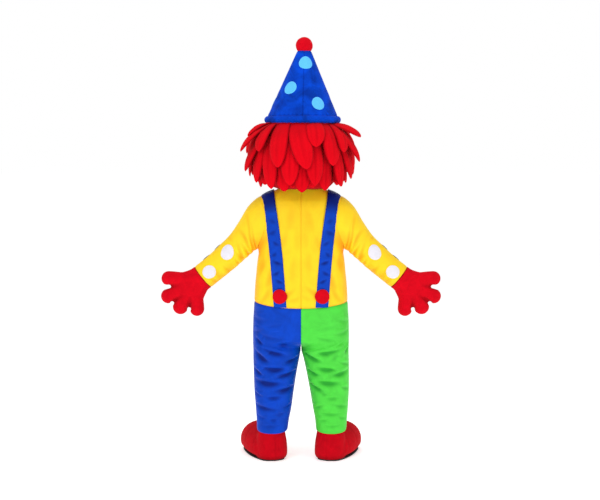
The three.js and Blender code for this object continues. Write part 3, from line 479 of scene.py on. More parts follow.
def shirt_body(u, v):
    """The torso with its lowest ring drawn along the curved waist seam."""
    share = np.clip((SEAM_FROM - v) / (SEAM_FROM - WAIST_BACK), 0, None)
    lift = waist_height(torso(u, v)[..., 0]) - WAIST_BACK + SEAM_GAP
    return torso(u, v + lift * share)


def section(table, u, v):
    """A tilted ellipse between the upper and lower edge, as seen from behind. u is 0 at
    the lower edge and a right angle behind."""
    up_x, up_z, low_x, low_z, deep = (
        read(table, c, v) for c in ("up_x", "up_z", "low_x", "low_z", "deep")
    )
    c = np.cos(u)
    x = (up_x + low_x) / 2 - (up_x - low_x) / 2 * c
    z = (up_z + low_z) / 2 - (up_z - low_z) / 2 * c
    return np.stack([x, deep * np.sin(u), z], -1)


def plain_sleeve(u, v):
    """The sleeve's tilted ellipses, before any fold."""
    return section(SLEEVE, u, v)


def inside_torso(points):
    """Under 1 inside the body: the sum of x over half the width and y over half the depth,
    each to the power 2.5."""
    x, y, z = np.moveaxis(points, -1, 0)
    wide, deep = read(TORSO, "wide", z), read(TORSO, "deep", z)
    power = BODY_SQUARENESS
    return np.abs(x / wide) ** power + np.abs(y / deep) ** power


side_x = TORSO["wide"][0]
print("waist seam", waist_height(0), "mm up behind,", waist_height(side_x), "at the sides")

# %% Where the sleeve leaves the body
def halved(low, high, within):
    """The last value between low and high that is still within a form, found by halving."""
    for _ in range(40):
        middle = (low + high) / 2
        inside = within(middle)
        low, high = np.where(inside, middle, low), np.where(inside, high, middle)
    return low


def armhole_row(u):
    """The sleeve's row where it leaves the body."""
    return halved(
        np.zeros_like(u), np.full_like(u, 3.0),
        lambda row: inside_torso(plain_sleeve(u, row)) < 1,
    )


starts = armhole_row(full_turn(96))
print("armhole rows from", starts.min().round(2), "to", starts.max().round(2))

# %% How far a point is from its neighbour
def nearest(points, samples, normals):
    """Signed distance to a sampled surface, out being positive, and its normal there. The
    closest sample is the one with the least squared distance."""
    flat = points.reshape(-1, 3)
    squares = (samples**2).sum(-1)
    blocks = [
        (squares - 2 * block @ samples.T).argmin(1)
        for block in np.array_split(flat, max(1, len(flat) // 2000))
    ]
    found = np.concatenate(blocks)
    away = ((flat - samples[found]) * normals[found]).sum(-1)
    return away.reshape(points.shape[:-1]), normals[found].reshape(points.shape)


def samples_of(surface, us, vs):
    """A surface's points and normals at every pairing of u and v, as two lists."""
    u, v = grid_of(us, vs)
    return surface(u, v).reshape(-1, 3), normals_of(surface, u, v).reshape(-1, 3)


sleeve_samples = samples_of(
    plain_sleeve, np.linspace(0, 2 * np.pi, 90), np.linspace(0, 3.4, 60)
)
torso_samples = samples_of(
    torso, np.linspace(-np.pi / 2, np.pi / 2, 90), np.linspace(1000, 1370, 75)
)
ARMPIT_REACH, SHOULDER_REACH = 26.0, 80.0  # mm
ARMPIT_TOP, SHOULDER_LOW = 1090.0, 1230.0


def reach_of(z):
    """How far from the armhole the cloths are drawn together: little in the armpit and
    much on the shoulder."""
    more = SHOULDER_REACH - ARMPIT_REACH
    return ARMPIT_REACH + more * smoothstep(ARMPIT_TOP, SHOULDER_LOW, z)


def drawn_together(points, normals, away, other):
    """Lifts a cloth towards the one that it is sewn to, by a parabola of how near it is,
    and not at all where the two run the same way."""
    reach = reach_of(points[..., 2])
    near = np.clip(1 - np.abs(away) / reach, 0, 1)
    corner = 1 - (normals * other).sum(-1)
    lift = np.sqrt(2) / 4 * reach * near**2 * corner
    return points + lift[..., None] * unit(normals + near[..., None] * other)


print(len(sleeve_samples[0]), "samples of the sleeve")

# %% Shirt folds
# Shallow pulls: from the armpits inwards, down the back, and where the waist gathers
SHIRT_FOLDS = [
    (150, 1080, 60, 16, 3.0, -62, 4), (118, 1010, 70, 18, 2.5, -78, 5),
    (40, 980, 75, 22, 1.8, -84, -4), (70, 860, 60, 14, 2.2, -35, 5),
    (35, 835, 45, 12, 1.6, -20, 4), (170, 930, 80, 20, 3.0, -75, 6),
    (185, 850, 60, 14, 2.6, -55, 5), (60, 1230, 80, 24, 1.6, -80, 6),
    (22, 1120, 90, 20, 1.2, -88, 3), (140, 1200, 60, 16, 2.0, -70, -5),
    (205, 990, 60, 15, 2.8, -80, 4), (95, 1120, 60, 20, 1.6, -60, 6),
]
SHIRT_FOLDS_RIGHT = [
    (148, 1070, 64, 16, 3.2, -58, 5), (120, 1000, 64, 17, 2.2, -74, 4),
    (44, 1010, 80, 22, 1.8, -86, 5), (66, 872, 64, 14, 2.4, -32, 5),
    (30, 842, 40, 12, 1.4, -24, 3), (168, 915, 84, 20, 3.2, -72, 6),
    (190, 845, 56, 14, 2.4, -50, 5), (52, 1215, 84, 24, 1.8, -76, 6),
    (24, 1140, 90, 20, 1.2, -88, 3), (138, 1190, 60, 16, 2.2, -66, -5),
    (206, 1000, 56, 15, 2.6, -80, 4), (100, 1105, 60, 20, 1.8, -56, 6),
]
print(len(SHIRT_FOLDS) + len(SHIRT_FOLDS_RIGHT), "pulls in the shirt")

# %% Shirt panels
def seam_dip(distance, deep=1.6, wide=5.0):
    """How far a sewn edge is pulled in: a bell curve of the distance from the seam."""
    return -deep * np.exp(-((distance / wide) ** 2))


def shirt_push(x, z, run):
    """The folds of either half, calm near the neck and waist, and the sewn edges. The
    cloth is a twentieth wider than its place as seen from behind."""
    across = np.abs(x) * 1.05
    calm = smoothstep(NECK_TOP - 10, NECK_TOP - 80, z) * smoothstep(785, 800, z)
    left, right = folds(SHIRT_FOLDS, across, z), folds(SHIRT_FOLDS_RIGHT, across, z)
    push = calm * np.where(x > 0, left, right)
    push += seam_dip(run) + seam_dip(run[-1:] - run)
    return push + seam_dip(z - waist_height(x), SEAM_DEEP, SEAM_WIDE)


def shirt_grid(start, end, columns, rows=150):
    """One panel between two angles: the body, pushed by its folds and seams, and drawn
    to the sleeves. Faces more than 9 mm inside a sleeve are left out. It gets painted
    shade beside the body, in the armpit and in its folds."""
    us = np.radians(even_steps(start, end, columns, 0.75))
    u, v = grid_of(us, even_steps(WAIST_BACK, NECK_TOP, rows, 0.35))
    plain, normal = shirt_body(u, v), normals_of(shirt_body, u, v)
    x, z = plain[..., 0], plain[..., 2]
    push = shirt_push(x, z, run_of(plain, 0))
    mirror = np.where(x < 0, -1.0, 1.0)[..., None] * [1.0, 0, 0] + [0, 1.0, 1.0]
    away, other = nearest(plain * mirror, *sleeve_samples)
    drawn = drawn_together(plain * mirror, normal * mirror, away, other) * mirror
    drawn += push[..., None] * normal
    middle = (away[1:, 1:] + away[:-1, :-1]) / 2
    # Painted shade beside the body where it turns away, in the armpit and in the troughs
    beside = 0.4 * smoothstep(0.8, 1, np.abs(x) / read(TORSO, "wide", z))
    painted_armpit_shade = 0.45 * np.exp(-((away - 10) / 40) ** 2) * smoothstep(1200, 1110, z)
    return drawn, middle > -9, np.clip(beside + painted_armpit_shade - push / 6, 0, 1)


shirt_panels = [
    ("front_shirt_panel", "shirt_front", 180, 360, 150),
    ("left_back_shirt_panel", "shirt_back_left", 0, 90, 90),
    ("right_back_shirt_panel", "shirt_back_right", 90, 180, 90),
]
for name, node, start, end, columns in shirt_panels:
    grid, keep, fold = shirt_grid(start, end, columns)
    panel = grid_mesh(name, grid, keep=keep, fold=fold)
    wall(panel, 2.2)
    dress(panel, YELLOW_SATIN, "yellow_satin", node)

# %% Sleeve folds
ARM_ROUND = 1.45  # mm of cloth to a degree round the arm
ARM_ROW = 80.0  # mm from row to row
# Soft steep folds of the upper arm, fanning from the armpit, and few on the forearm.
# Round the arm 0 is the lower edge and 90 degrees, or 130 mm, the back.
SLEEVE_FOLDS = [
    (60, 140, 105, 15, 4.5, 10, -14), (75, 172, 95, 13, 4.0, 4, -10),
    (50, 205, 110, 15, 5.0, -4, 8), (95, 236, 90, 13, 4.0, 6, 10),
    (40, 268, 105, 14, 5.0, 2, 8), (85, 300, 90, 13, 3.5, -6, -8),
    (55, 334, 100, 13, 4.5, 4, 8), (30, 366, 90, 12, 3.5, -4, 6),
    (150, 250, 70, 14, 2.5, 12, 8), (165, 190, 70, 14, 2.5, -8, 8),
    (140, 400, 60, 12, 2.0, 8, 5), (45, 440, 80, 12, 3.0, 2, 6),
    (95, 492, 70, 11, 2.5, -4, 5), (50, 528, 70, 10, 2.5, 4, 4),
    (-60, 150, 100, 15, 4.5, -8, -10), (-45, 210, 105, 15, 5.0, 4, 8),
    (-80, 255, 90, 13, 4.0, -6, 8), (-50, 310, 95, 13, 4.5, 6, 8),
    (-90, 345, 80, 13, 3.0, -8, 6), (-40, 420, 80, 12, 3.0, 4, 5),
    (-110, 470, 70, 12, 2.5, -4, 5), (-55, 520, 70, 10, 2.5, 4, 4),
    (215, 330, 50, 12, 2.0, 10, 5), (-165, 220, 60, 13, 2.0, 8, 6),
]
print(len(SLEEVE_FOLDS), "folds in each sleeve")

# %% Sleeves
def sleeve_push(u, v):
    """The folds, on a map of the sleeve with 0 at its lower edge: calm near the cuff and
    the armhole, and calmer along the lower edge."""
    degrees = (np.degrees(u) + 180) % 360 - 180
    calm = smoothstep(7.02, 6.6, v) * smoothstep(0.6, 1.6, v)
    calm = calm * (0.35 + 0.65 * smoothstep(0, 34, np.abs(degrees)))
    return calm * folds(SLEEVE_FOLDS, degrees * ARM_ROUND, v * ARM_ROW)


def sleeve(u, v):
    """The sleeve with its folds."""
    return moved(plain_sleeve, u, v, sleeve_push(u, v))


def sleeve_grid(around=132, rows=150):
    """Columns from the armhole to the cuff, drawn to the body where they start. They get
    painted shade along the lower edge, in the armpit and in the folds."""
    us = full_turn(around)
    share = even_steps(0, 1, rows) ** 1.15
    u = np.repeat(us[:, None], rows + 1, axis=1)
    start = armhole_row(us)[:, None]
    v = start + (SLEEVE["row"][-1] - start) * share[None, :]
    plain, normal = plain_sleeve(u, v), normals_of(plain_sleeve, u, v)
    away, other = nearest(plain, *torso_samples)
    drawn = drawn_together(plain, normal, np.maximum(away, 0), other)
    run = run_of(plain, 1)
    push = sleeve_push(u, v) + seam_dip(run, 1.8, 4.0)
    push += seam_dip(run[:, -1:] - run, 2.0, 5.0)
    # Painted shade along the lower edge, in the armpit and in the troughs
    under = 0.45 * np.clip(np.cos(u), 0, 1) ** 3 * smoothstep(90, 200, run)
    painted_armpit_shade = 0.35 * np.exp(-(run / 45) ** 2) * smoothstep(1200, 1110, plain[..., 2])
    return drawn + push[..., None] * normal, np.clip(under + painted_armpit_shade - push / 7, 0, 1)


def mirrored(points):
    """The same points on the wearer's right, in the order that keeps them facing out."""
    return (points * [-1.0, 1.0, 1.0])[..., ::-1, :, :]


def left_and_right(grid, fold):
    """An open cloth's grid and painted shade on the wearer's left, and mirrored on the right.
    """
    return ("left", grid, fold), ("right", mirrored(grid), fold[::-1])


for side, grid, fold in left_and_right(*sleeve_grid()):
    tube = grid_mesh(f"{side}_sleeve_cloth", grid, wrap=True, fold=fold)
    wall(tube, 2.2)
    dress(tube, YELLOW_SATIN, "yellow_satin", f"sleeve_{side}")

# %% [markdown]
# ## Dots
#
# Dots are cut from fleece with a thin wadding and sewn on round their rims, so each is a
# low cushion that follows the cloth below it: a disc whose height falls as a quarter of
# an ellipse near its rim.

# %% Patches that follow a surface
FLAT_SHARE = 0.82  # of a patch's radius, up to where its rim starts to fall


def patch_points(surface, u0, v0, wide, tall, lift, thick, crown, corners=56):
    """Rings about (u0, v0) on the surface, from the middle of the face over the rim to the
    middle of the underside. Angles turn round it, and the share of the radius grows. lift
    is the underside's height, thick the rim's and crown how much more the middle has."""
    h = 1e-3
    here = surface(np.array(u0), np.array(v0))
    per_u = np.linalg.norm(surface(np.array(u0 + h), np.array(v0)) - here) / h
    per_v = np.linalg.norm(surface(np.array(u0), np.array(v0 + h)) - here) / h
    turn = np.linspace(0, np.pi / 2, 9)
    face = np.linspace(0, FLAT_SHARE, 9)[:-1]
    edge = FLAT_SHARE + (1 - FLAT_SHARE) * np.sin(turn)
    below = [0.97, 0.6, 0]
    share = np.concatenate([face, edge, below])
    rim = np.concatenate([np.ones(8), np.cos(turn), np.zeros(3)])
    height = lift + thick * np.clip(rim, 0, 1) + crown * np.sqrt(np.clip(1 - share**2, 0, 1))
    height[-len(below):] = lift
    angle = full_turn(corners)
    u = u0 + share[None, :] * wide * np.cos(angle)[:, None] / per_u
    v = v0 + share[None, :] * tall * np.sin(angle)[:, None] / per_v
    return moved(surface, u, v, np.broadcast_to(height, u.shape))


def both_sides(grid):
    """A closed piece's grid on the wearer's left, and mirrored on the right. Closing its
    mesh turns its faces outwards."""
    return ("left", grid), ("right", grid * [-1, 1, 1])


SLEEVE_DOTS = {
    "name": ["white_upper", "white_lower", "navy_upper", "navy_lower"],
    "row": [4.72, 6.42, 5.2, 6.1],
    "at": [105, 92, 206, 206],
    "radius": [36, 34, 26, 26],
}
for name, row, at, radius in zip(*SLEEVE_DOTS.values()):
    dot = patch_points(sleeve, np.radians(at), row, radius, radius, 0.6, 1.8, 1.8)
    white = name.startswith("white")
    tint, slot = (WHITE_FLEECE, "white_fleece") if white else (NAVY_FLEECE, "navy_fleece")
    for side, grid in both_sides(dot):
        piece = grid_mesh(f"{side}_{name}_dot", grid, wrap=True, closed=True)
        dress(piece, tint, slot, f"sleeve_dot_{name}_{side}")
print("8 sleeve dots")

# %% [markdown]
# ## Braces
#
# A brace is a satin band laid over the shoulder and sewn into the waist seam at both
# ends, under a stuffed button. Its middle line leans outwards as it climbs. The band is
# found on the body by halving along level lines, and over the shoulder along an arc.

# %% Strap forms
STRAP = {"z": [790, 930, 1075, 1235, 1350], "x": [102, 112, 125, 145, 164]}
STRAP_WIDE = 62.0
STRAP_TURN = 1235.0  # the height above which it goes over the shoulder as an arc
STRAP_ARC = 115.0  # the arc's height
STRAP_END = 792.0
SHOULDER_SHARE = 0.22  # of the half band, on the arc
# Beside the body the band lies on the sleeve's head, an upright ellipse
SLEEVE_HEAD = {"x": 180.0, "z": 1206.0, "tall": 120.0, "deep": 94.0}
# Small dents of the hanging band: across it, and along it from the waist up
STRAP_FOLDS = [
    (-6, 130, 26, 9, 2.4, 24, 3), (8, 170, 28, 9, 2.2, -30, 4), (-4, 222, 30, 10, 2.6, 20, 3),
    (10, 262, 24, 9, 1.8, -40, 3), (-8, 318, 26, 10, 1.8, 35, 4), (6, 372, 30, 11, 1.6, -25, 4),
    (0, 92, 24, 8, 2.0, -15, 3), (-6, 430, 26, 12, 1.2, 30, 4),
]
print("bands", STRAP_WIDE, "mm wide")

# %% Braces
def over_shirt(x, z, dir_y, dir_z):
    """The shirt's surface met from (x, 0, z) along a direction, found by halving."""

    def within(far):
        y, height = dir_y * far, z + dir_z * far
        up = (height - SLEEVE_HEAD["z"]) / SLEEVE_HEAD["tall"]
        on_arm = up**2 + (y / SLEEVE_HEAD["deep"]) ** 2 < 1
        on_body = inside_torso(np.stack([x, y, height], -1)) < 1
        return (on_body & (height < NECK_TOP)) | ((x > SLEEVE_HEAD["x"]) & on_arm)

    far = halved(np.zeros_like(x), np.full_like(x, 260.0), within)
    return np.stack([x, dir_y * far, z + dir_z * far], -1)


def strap_surface(u, v):
    """v runs from -1 at the front waist over the shoulder at 0 to 1 at the back waist,
    and u across the band in mm. Below the turn it goes level, above it as an arc."""
    side, along = np.where(v < 0, -1.0, 1.0), np.abs(v)
    down = (along - SHOULDER_SHARE) / (1 - SHOULDER_SHARE)
    low_z = STRAP_TURN + (STRAP_END - STRAP_TURN) * np.clip(down, 0, 1.02)
    turn = np.radians(90) * np.clip(along / SHOULDER_SHARE, 0, 1)
    height = np.where(down > 0, low_z, STRAP_TURN + STRAP_ARC * np.cos(turn))
    x = read(STRAP, "x", height) + u
    start = np.where(down > 0, low_z, STRAP_TURN)
    return over_shirt(x, start, side * np.sin(turn), np.cos(turn))


def strap_lift(v):
    """In mm: 1.2 off the shirt at the sewn ends, 2.4 along the back, and 4 more over the
    shoulder."""
    ends = 2.4 * (1 - 0.5 * smoothstep(0.9, 1, np.abs(v)))
    return ends + 4 * smoothstep(1.8 * SHOULDER_SHARE, SHOULDER_SHARE, np.abs(v))


def strap_grid():
    """The band, domed as a cosine across with its hems turned down, dented, and smoothed
    along by averaging each point with its neighbours. Its edges, top and dents get painted
    shade."""
    half = STRAP_WIDE / 2
    u, v = grid_of(even_steps(-half, half, 20, 0.6), even_steps(-1, 1, 360))
    plain, normal = strap_surface(u, v), normals_of(strap_surface, u, v)
    up = run_of(plain, 1)
    up = np.minimum(up, up[:, -1:] - up)
    dents = folds(STRAP_FOLDS, u * np.where(v < 0, -1, 1), up)
    hem = -0.8 * smoothstep(half - 6, half, np.abs(u))
    bulge = 1.2 * np.cos(np.pi * u / STRAP_WIDE) + hem
    lift = np.maximum(strap_lift(v) + bulge + 1.6 + dents, 0.6)
    smooth = plain.copy()
    for _ in range(3):
        smooth[:, 1:-1] = (smooth[:, :-2] + 2 * smooth[:, 1:-1] + smooth[:, 2:]) / 4
    # Painted shade at the edges, over the shoulder and in the dents
    edge = 0.35 * smoothstep(0.82, 1, np.abs(u) / half)
    top = 0.9 * smoothstep(SHOULDER_SHARE, 0.55 * SHOULDER_SHARE, np.abs(v))
    return smooth + lift[..., None] * normal, np.clip(edge + top - dents / 3, 0, 1)


for side, grid, fold in left_and_right(*strap_grid()):
    band = grid_mesh(f"{side}_brace_band", grid, fold=fold)
    wall(band, 1.6)
    dress(band, BLUE_SATIN, "blue_satin", f"brace_{side}")
    print(side, "brace cut", np.round(cut_of(grid), 3), "m")

# %% Buttons
BUTTON = {"x": 105.0, "z": 846.0}
BUTTON_FORM = {"wide": 36.0, "tall": 36.0, "lift": 4.6, "thick": 4.0, "crown": 9.0}
for place, side_y in (("back", 1), ("front", -1)):
    turn = np.arccos((BUTTON["x"] / read(TORSO, "wide", BUTTON["z"])) ** (BODY_SQUARENESS / 2))
    dome = patch_points(torso, side_y * turn, BUTTON["z"], **BUTTON_FORM)
    for side, grid in both_sides(dome):
        piece = grid_mesh(f"{side}_{place}_button", grid, wrap=True, closed=True)
        dress(piece, RED_FLEECE, "red_fleece", f"button_{place}_{side}")
print("4 buttons")

# %% [markdown]
# ## Trousers
#
# The trousers are satin over the padded legs, blue on the wearer's left and green on the
# right. They are pushed together along the leg, so the cloth buckles: troughs sag across
# the leg one above the other, each set off to a side of the last, like a crushed tube's.

# %% Leg forms
CROTCH = 592.0
HIPS = {
    "z": [560, 600, 650, 720, 780, 815],
    "wide": [241, 242, 242, 240, 236, 235],
    "deep": [138, 146, 155, 163, 167, 166.5],
}
LEG = {
    "z": [143, 200, 260, 355, 450, 520, 556, 592, 640],
    "outer": [224, 225, 229, 236, 239, 241, 241, 242, 242],
    "inner": [76, 72, 61, 45, 27, 12, 2, 0.4, 0.4],
    "deep": [72, 74, 82, 97, 112, 124, 132, 143, 152],
}
# The two legs hang a little differently: blue closer to the middle, green fuller outside
LEG_SIDES = {
    "left": {**LEG, "inner": [68, 61, 49, 36, 21, 8, 2, 0.4, 0.4]},
    "right": {**LEG, "outer": [230, 233, 238, 243, 243, 242, 241, 242, 242]},
}
LEG_TOP = 640.0  # the height above which the rows bend with the waist seam
CUFF_BACK = 139.0
CUFF_RISE = 30.0
CUFF_TOP = 230.0  # the height below which the rows slant with the cuff
CUFF_DEEP = 148.0
LEG_SQUARENESS = 2.2
LEG_ROUND = 1.9  # mm of cloth to a degree round the leg


def plain_leg(u, v, table=LEG):
    """Round each leg a superellipse, above the crotch the half of the hips' one, and a
    smooth change between the two. u is 0 at the side seam and 180 degrees at the inner
    or centre seam, behind when positive and in front when negative."""
    p, q = 2 / LEG_SQUARENESS, 2 / BODY_SQUARENESS
    outer, inner, deep = (read(table, c, v) for c in ("outer", "inner", "deep"))
    oval_x = (outer + inner) / 2 + (outer - inner) / 2 * signed_power(np.cos(u), p)
    oval_y = deep * signed_power(np.sin(u), p)
    half_x = read(HIPS, "wide", v) * signed_power(np.cos(u / 2), q)
    half_y = read(HIPS, "deep", v) * signed_power(np.sin(u / 2), q)
    share = smoothstep(CROTCH - 36, CROTCH + 30, v)
    x = oval_x + (half_x - oval_x) * share
    y = oval_y + (half_y - oval_y) * share
    return np.stack([x, y, v + 0 * u], -1)


middle = plain_leg(np.pi, CROTCH)[0]
print("the legs part", CROTCH, "mm up,", middle.round(1), "mm from the middle")

# %% Leg folds
# Troughs behind: degrees from the side seam, height, half the span in degrees, width,
# depth, tilt and sag
LEFT_LEG_FOLDS = [
    (64, 735, 52, 13, 3.5, -6, 14), (122, 708, 44, 12, 3.0, 10, 12),
    (52, 676, 46, 12, 4.5, 8, 14), (112, 650, 46, 12, 4.5, -8, 16),
    (63, 618, 24, 14, 9.0, -23, 6), (134, 602, 28, 11, 8.0, 12, 5),
    (87, 565, 36, 15, 11.0, -19, 8), (54, 538, 36, 16, 12.0, -31, 8),
    (130, 520, 36, 13, 10.0, 11, 6), (91, 485, 42, 16, 12.0, -3, 14),
    (40, 458, 34, 13, 10.0, -21, 6), (120, 450, 44, 14, 11.0, 10, 8),
    (71, 413, 54, 17, 12.0, -5, 14), (125, 372, 50, 15, 11.0, 8, 8),
    (90, 332, 28, 13, 8.0, 2, 8), (36, 346, 30, 10, 6.0, -14, 8),
    (58, 280, 58, 14, 9.0, -9, 10), (140, 286, 30, 9, 5.0, 14, 8),
    (112, 246, 34, 10, 5.0, 8, 8), (93, 213, 16, 10, 6.0, 0, 5),
    (48, 228, 30, 9, 4.5, -8, 8), (84, 184, 40, 9, 4.0, 2, 8),
]
RIGHT_LEG_FOLDS = [
    (58, 728, 50, 13, 3.5, 6, 14), (118, 700, 46, 12, 3.0, -10, 12),
    (66, 668, 46, 12, 4.5, -8, 14), (124, 640, 42, 12, 4.5, 10, 14),
    (77, 597, 20, 11, 5.0, -30, 4), (25, 572, 20, 14, 10.0, -39, 5),
    (86, 569, 42, 15, 11.0, -10, 10), (128, 536, 44, 16, 12.0, 22, 8),
    (71, 536, 17, 12, 5.0, -41, 4), (36, 506, 30, 10, 6.0, 12, 8),
    (92, 481, 38, 15, 11.0, 5, 10), (132, 453, 38, 14, 10.0, 17, 6),
    (56, 455, 45, 15, 11.0, -10, 8), (93, 413, 49, 16, 11.0, 3, 12),
    (130, 380, 44, 14, 10.0, 16, 8), (34, 380, 30, 10, 6.0, 10, 8),
    (84, 328, 24, 12, 6.0, 0, 6), (108, 350, 20, 10, 4.0, 12, 4),
    (56, 290, 40, 11, 6.0, 8, 10), (132, 284, 30, 9, 5.0, -12, 8),
    (92, 250, 44, 11, 6.0, 2, 12), (46, 226, 30, 9, 4.5, 10, 8),
    (118, 214, 30, 9, 4.5, -8, 8), (86, 186, 40, 9, 4.0, -2, 8),
]
print(len(LEFT_LEG_FOLDS), "troughs behind the left leg,", len(RIGHT_LEG_FOLDS), "the right")

# %% Trouser panels
def turned_over(rows):
    """The like for the front: on the other side of the seam, tilted the other way, 8
    degrees off in turns, up to 14 mm lower and 15 % shallower."""
    return [
        (-at + 8 * ((k % 2) * 2 - 1), z - 14 + 5 * (k % 3), span, wide, 0.85 * deep, -tilt, sag)
        for k, (at, z, span, wide, deep, tilt, sag) in enumerate(rows)
    ]


def leg_creases(rows):
    """The troughs in mm of cloth, and over one side of each a small crease of half its
    length that tilts the other way."""
    big = [(at * LEG_ROUND, z, span * LEG_ROUND, *rest) for at, z, span, *rest in rows]
    small = [
        (at + 34, z + 19, 0.5 * span, 5.5, 0.22 * deep + 0.6, -tilt, 4)
        for at, z, span, wide, deep, tilt, sag in big
    ]
    return big + small


def leg_push(u, x, z, run, rows):
    """The creases, calm at the waist, at the cuff and where the legs meet, and the sewn
    edges."""
    calm = smoothstep(WAIST_BACK, WAIST_BACK - 45, z) * smoothstep(CUFF_BACK, CUFF_BACK + 30, z)
    opened = 60 * smoothstep(CROTCH - 20, CROTCH - 90, z)
    calm = calm * smoothstep(0, 40, x + opened)
    push = calm * folds(leg_creases(rows), np.degrees(u) * LEG_ROUND, z)
    push += seam_dip(run, 1.4, 4) + seam_dip(run[-1:] - run, 1.4, 4)
    return push + seam_dip(waist_height(x) - z, SEAM_DEEP, SEAM_WIDE)


def leg_grid(side, rows, front, columns=110, levels=210):
    """One panel of a leg with its creases, its upper edge along the waist seam and its
    cuff cut on a slant and turned in. A trough gets painted shade, more the deeper it is."""
    us = np.radians(even_steps(0, 180, columns, 0.5))
    us = -us[::-1] if front else us
    u, v = grid_of(us, even_steps(CUFF_BACK, WAIST_BACK, levels, 0.2))

    def leg(a, b):
        return plain_leg(a, b, LEG_SIDES[side])

    plain = leg(u, v)
    top = np.clip((v - LEG_TOP) / (WAIST_BACK - LEG_TOP), 0, None)
    end = np.clip((CUFF_TOP - v) / (CUFF_TOP - CUFF_BACK), 0, None)
    height = v + top * (waist_height(plain[..., 0]) - WAIST_BACK - SEAM_GAP)
    height = height + end * CUFF_RISE * (0.5 - plain[..., 1] / CUFF_DEEP)
    base, normal = leg(u, height), normals_of(leg, u, height)
    push = leg_push(u, base[..., 0], height, run_of(base, 0), rows)
    turned_in = -smoothstep(CUFF_BACK + 16, CUFF_BACK, v) ** 2
    # Painted shade in the troughs, more the deeper they are
    shade = 0.8 * np.clip(-push / 9, 0, 1) ** 1.4
    return base + (push + turned_in)[..., None] * normal, shade


for side, colour, rows, tint in (
    ("left", "blue", LEFT_LEG_FOLDS, BLUE_SATIN),
    ("right", "green", RIGHT_LEG_FOLDS, GREEN_SATIN),
):
    for place in ("back", "front"):
        front = place == "front"
        grid, fold = leg_grid(side, turned_over(rows) if front else rows, front)
        if side == "right":
            grid, fold = mirrored(grid), fold[::-1]
        panel = grid_mesh(f"{side}_{place}_trouser_panel", grid, fold=fold)
        wall(panel, 2.2)
        dress(panel, tint, f"{colour}_satin", f"trousers_{side}_{place}")
        print(side, place, "trouser cut", np.round(cut_of(grid), 3), "m")

# %% [markdown]
# ## Gloves
#
# A glove is one fleece bag over a thin wadding: a palm, a thumb and three fingers, all
# round and short. Its pieces are drawn as closed tubes that overlap, joined by a voxel
# remesh of 4 mm, which gives the soft creases where the fingers meet, then smoothed.

# %% Hand forms
HAND = {
    "row": [0, 1, 2, 3, 4, 5],
    "up_x": [533.25, 557, 590, 630, 654, 652],
    "up_z": [978.7, 963, 952, 942, 902, 850],
    "low_x": [450.25, 469, 485, 506, 560, 610],
    "low_z": [875.7, 861, 830, 790, 778, 798],
    "deep": [60, 54, 48, 42, 35, 22],
}
# Each finger's ends: the middle of its root in the palm and of its round tip
FINGERS = {
    "name": ["thumb", "first", "second", "third"],
    "root": [(592, 915), (600, 862), (580, 840), (530, 850)],
    "tip": [(665, 919), (667, 830), (607, 776), (524, 765)],
    "radius": [37, 38, 39, 37],
}


def hand(u, v):
    """The palm's tilted ellipses. Past the last row they close as a dome."""
    last = HAND["row"][-1]
    row, past = np.clip(v, 0, last), np.clip(v - last, 0, 1)
    middle = (section(HAND, 0 * u, row) + section(HAND, 0 * u + np.pi, row)) / 2
    return middle + (section(HAND, u, row) - middle) * np.sqrt(1 - past**2)[..., None]


def finger(root, tip, radius, u, v):
    """A round-ended tube: v runs from its root to the tip's centre, then over its end as a
    quarter turn."""
    start, end = (np.array([x, 0.0, z]) for x, z in (root, tip))
    axis = unit(end - start)
    side = np.array([-axis[2], 0.0, axis[0]])
    shaft, cap = np.clip(v, 0, 1), np.clip(v - 1, 0, 1) * np.pi / 2
    wide = radius * (0.94 + 0.06 * smoothstep(0, 0.85, shaft)) * np.cos(cap)
    along = start + (end - start) * shaft[..., None] + axis * (radius * np.sin(cap))[..., None]
    across = side * np.cos(u)[..., None] - np.array([0, 1.0, 0]) * np.sin(u)[..., None]
    return along + across * wide[..., None]


print(len(FINGERS["name"]), "fingers, the thumb counted")

# %% Joining tubes and working on a skin
VOXEL = 4.0  # mm


def joined(pieces, smooth):
    """Overlapping closed tubes as one skin: a voxel remesh of their union, smoothed."""
    for other in pieces[1:]:
        other.data.transform(other.matrix_world)
    with bpy.context.temp_override(
        active_object=pieces[0], selected_editable_objects=pieces, object=pieces[0]
    ):
        bpy.ops.object.join()
    whole = pieces[0]
    remesh = whole.modifiers.new("join", "REMESH")
    remesh.mode, remesh.voxel_size = "VOXEL", VOXEL * 0.001
    soften = whole.modifiers.new("soften", "SMOOTH")
    soften.factor, soften.iterations = 0.5, smooth
    result = whole.evaluated_get(bpy.context.evaluated_depsgraph_get())
    mesh = bpy.data.meshes.new_from_object(result)
    whole.modifiers.clear()
    whole.data = mesh
    mesh.shade_smooth()
    return whole


def verts_of(mesh):
    """A mesh's points in mm above the floor."""
    flat = np.zeros(len(mesh.vertices) * 3)
    mesh.vertices.foreach_get("co", flat)
    return flat.reshape(-1, 3) * 1000 + [0, 0, HOLD_HEIGHT]


def put_verts(mesh, points):
    """Moves a mesh's points to these, in mm above the floor."""
    mesh.vertices.foreach_set("co", in_part(points).reshape(-1))
    mesh.update()


def mesh_normals(mesh):
    """The outward direction at each of a mesh's points."""
    flat = np.zeros(len(mesh.vertices) * 3)
    mesh.vertex_normals.foreach_get("vector", flat)
    return flat.reshape(-1, 3)


def open_end(mesh, point, direction, depth):
    """Cuts a skin open across the direction: drops the faces whose middle lies past the
    point, or short of it by less than depth."""
    work = bmesh.new()
    work.from_mesh(mesh)
    point = in_part(point)
    gone = [
        f for f in work.faces
        if np.dot(np.array(f.calc_center_median()) - point, direction) > -depth * 0.001
    ]
    bmesh.ops.delete(work, geom=gone, context="FACES")
    work.to_mesh(mesh)
    work.free()


print("skins are joined with voxels of", VOXEL, "mm")

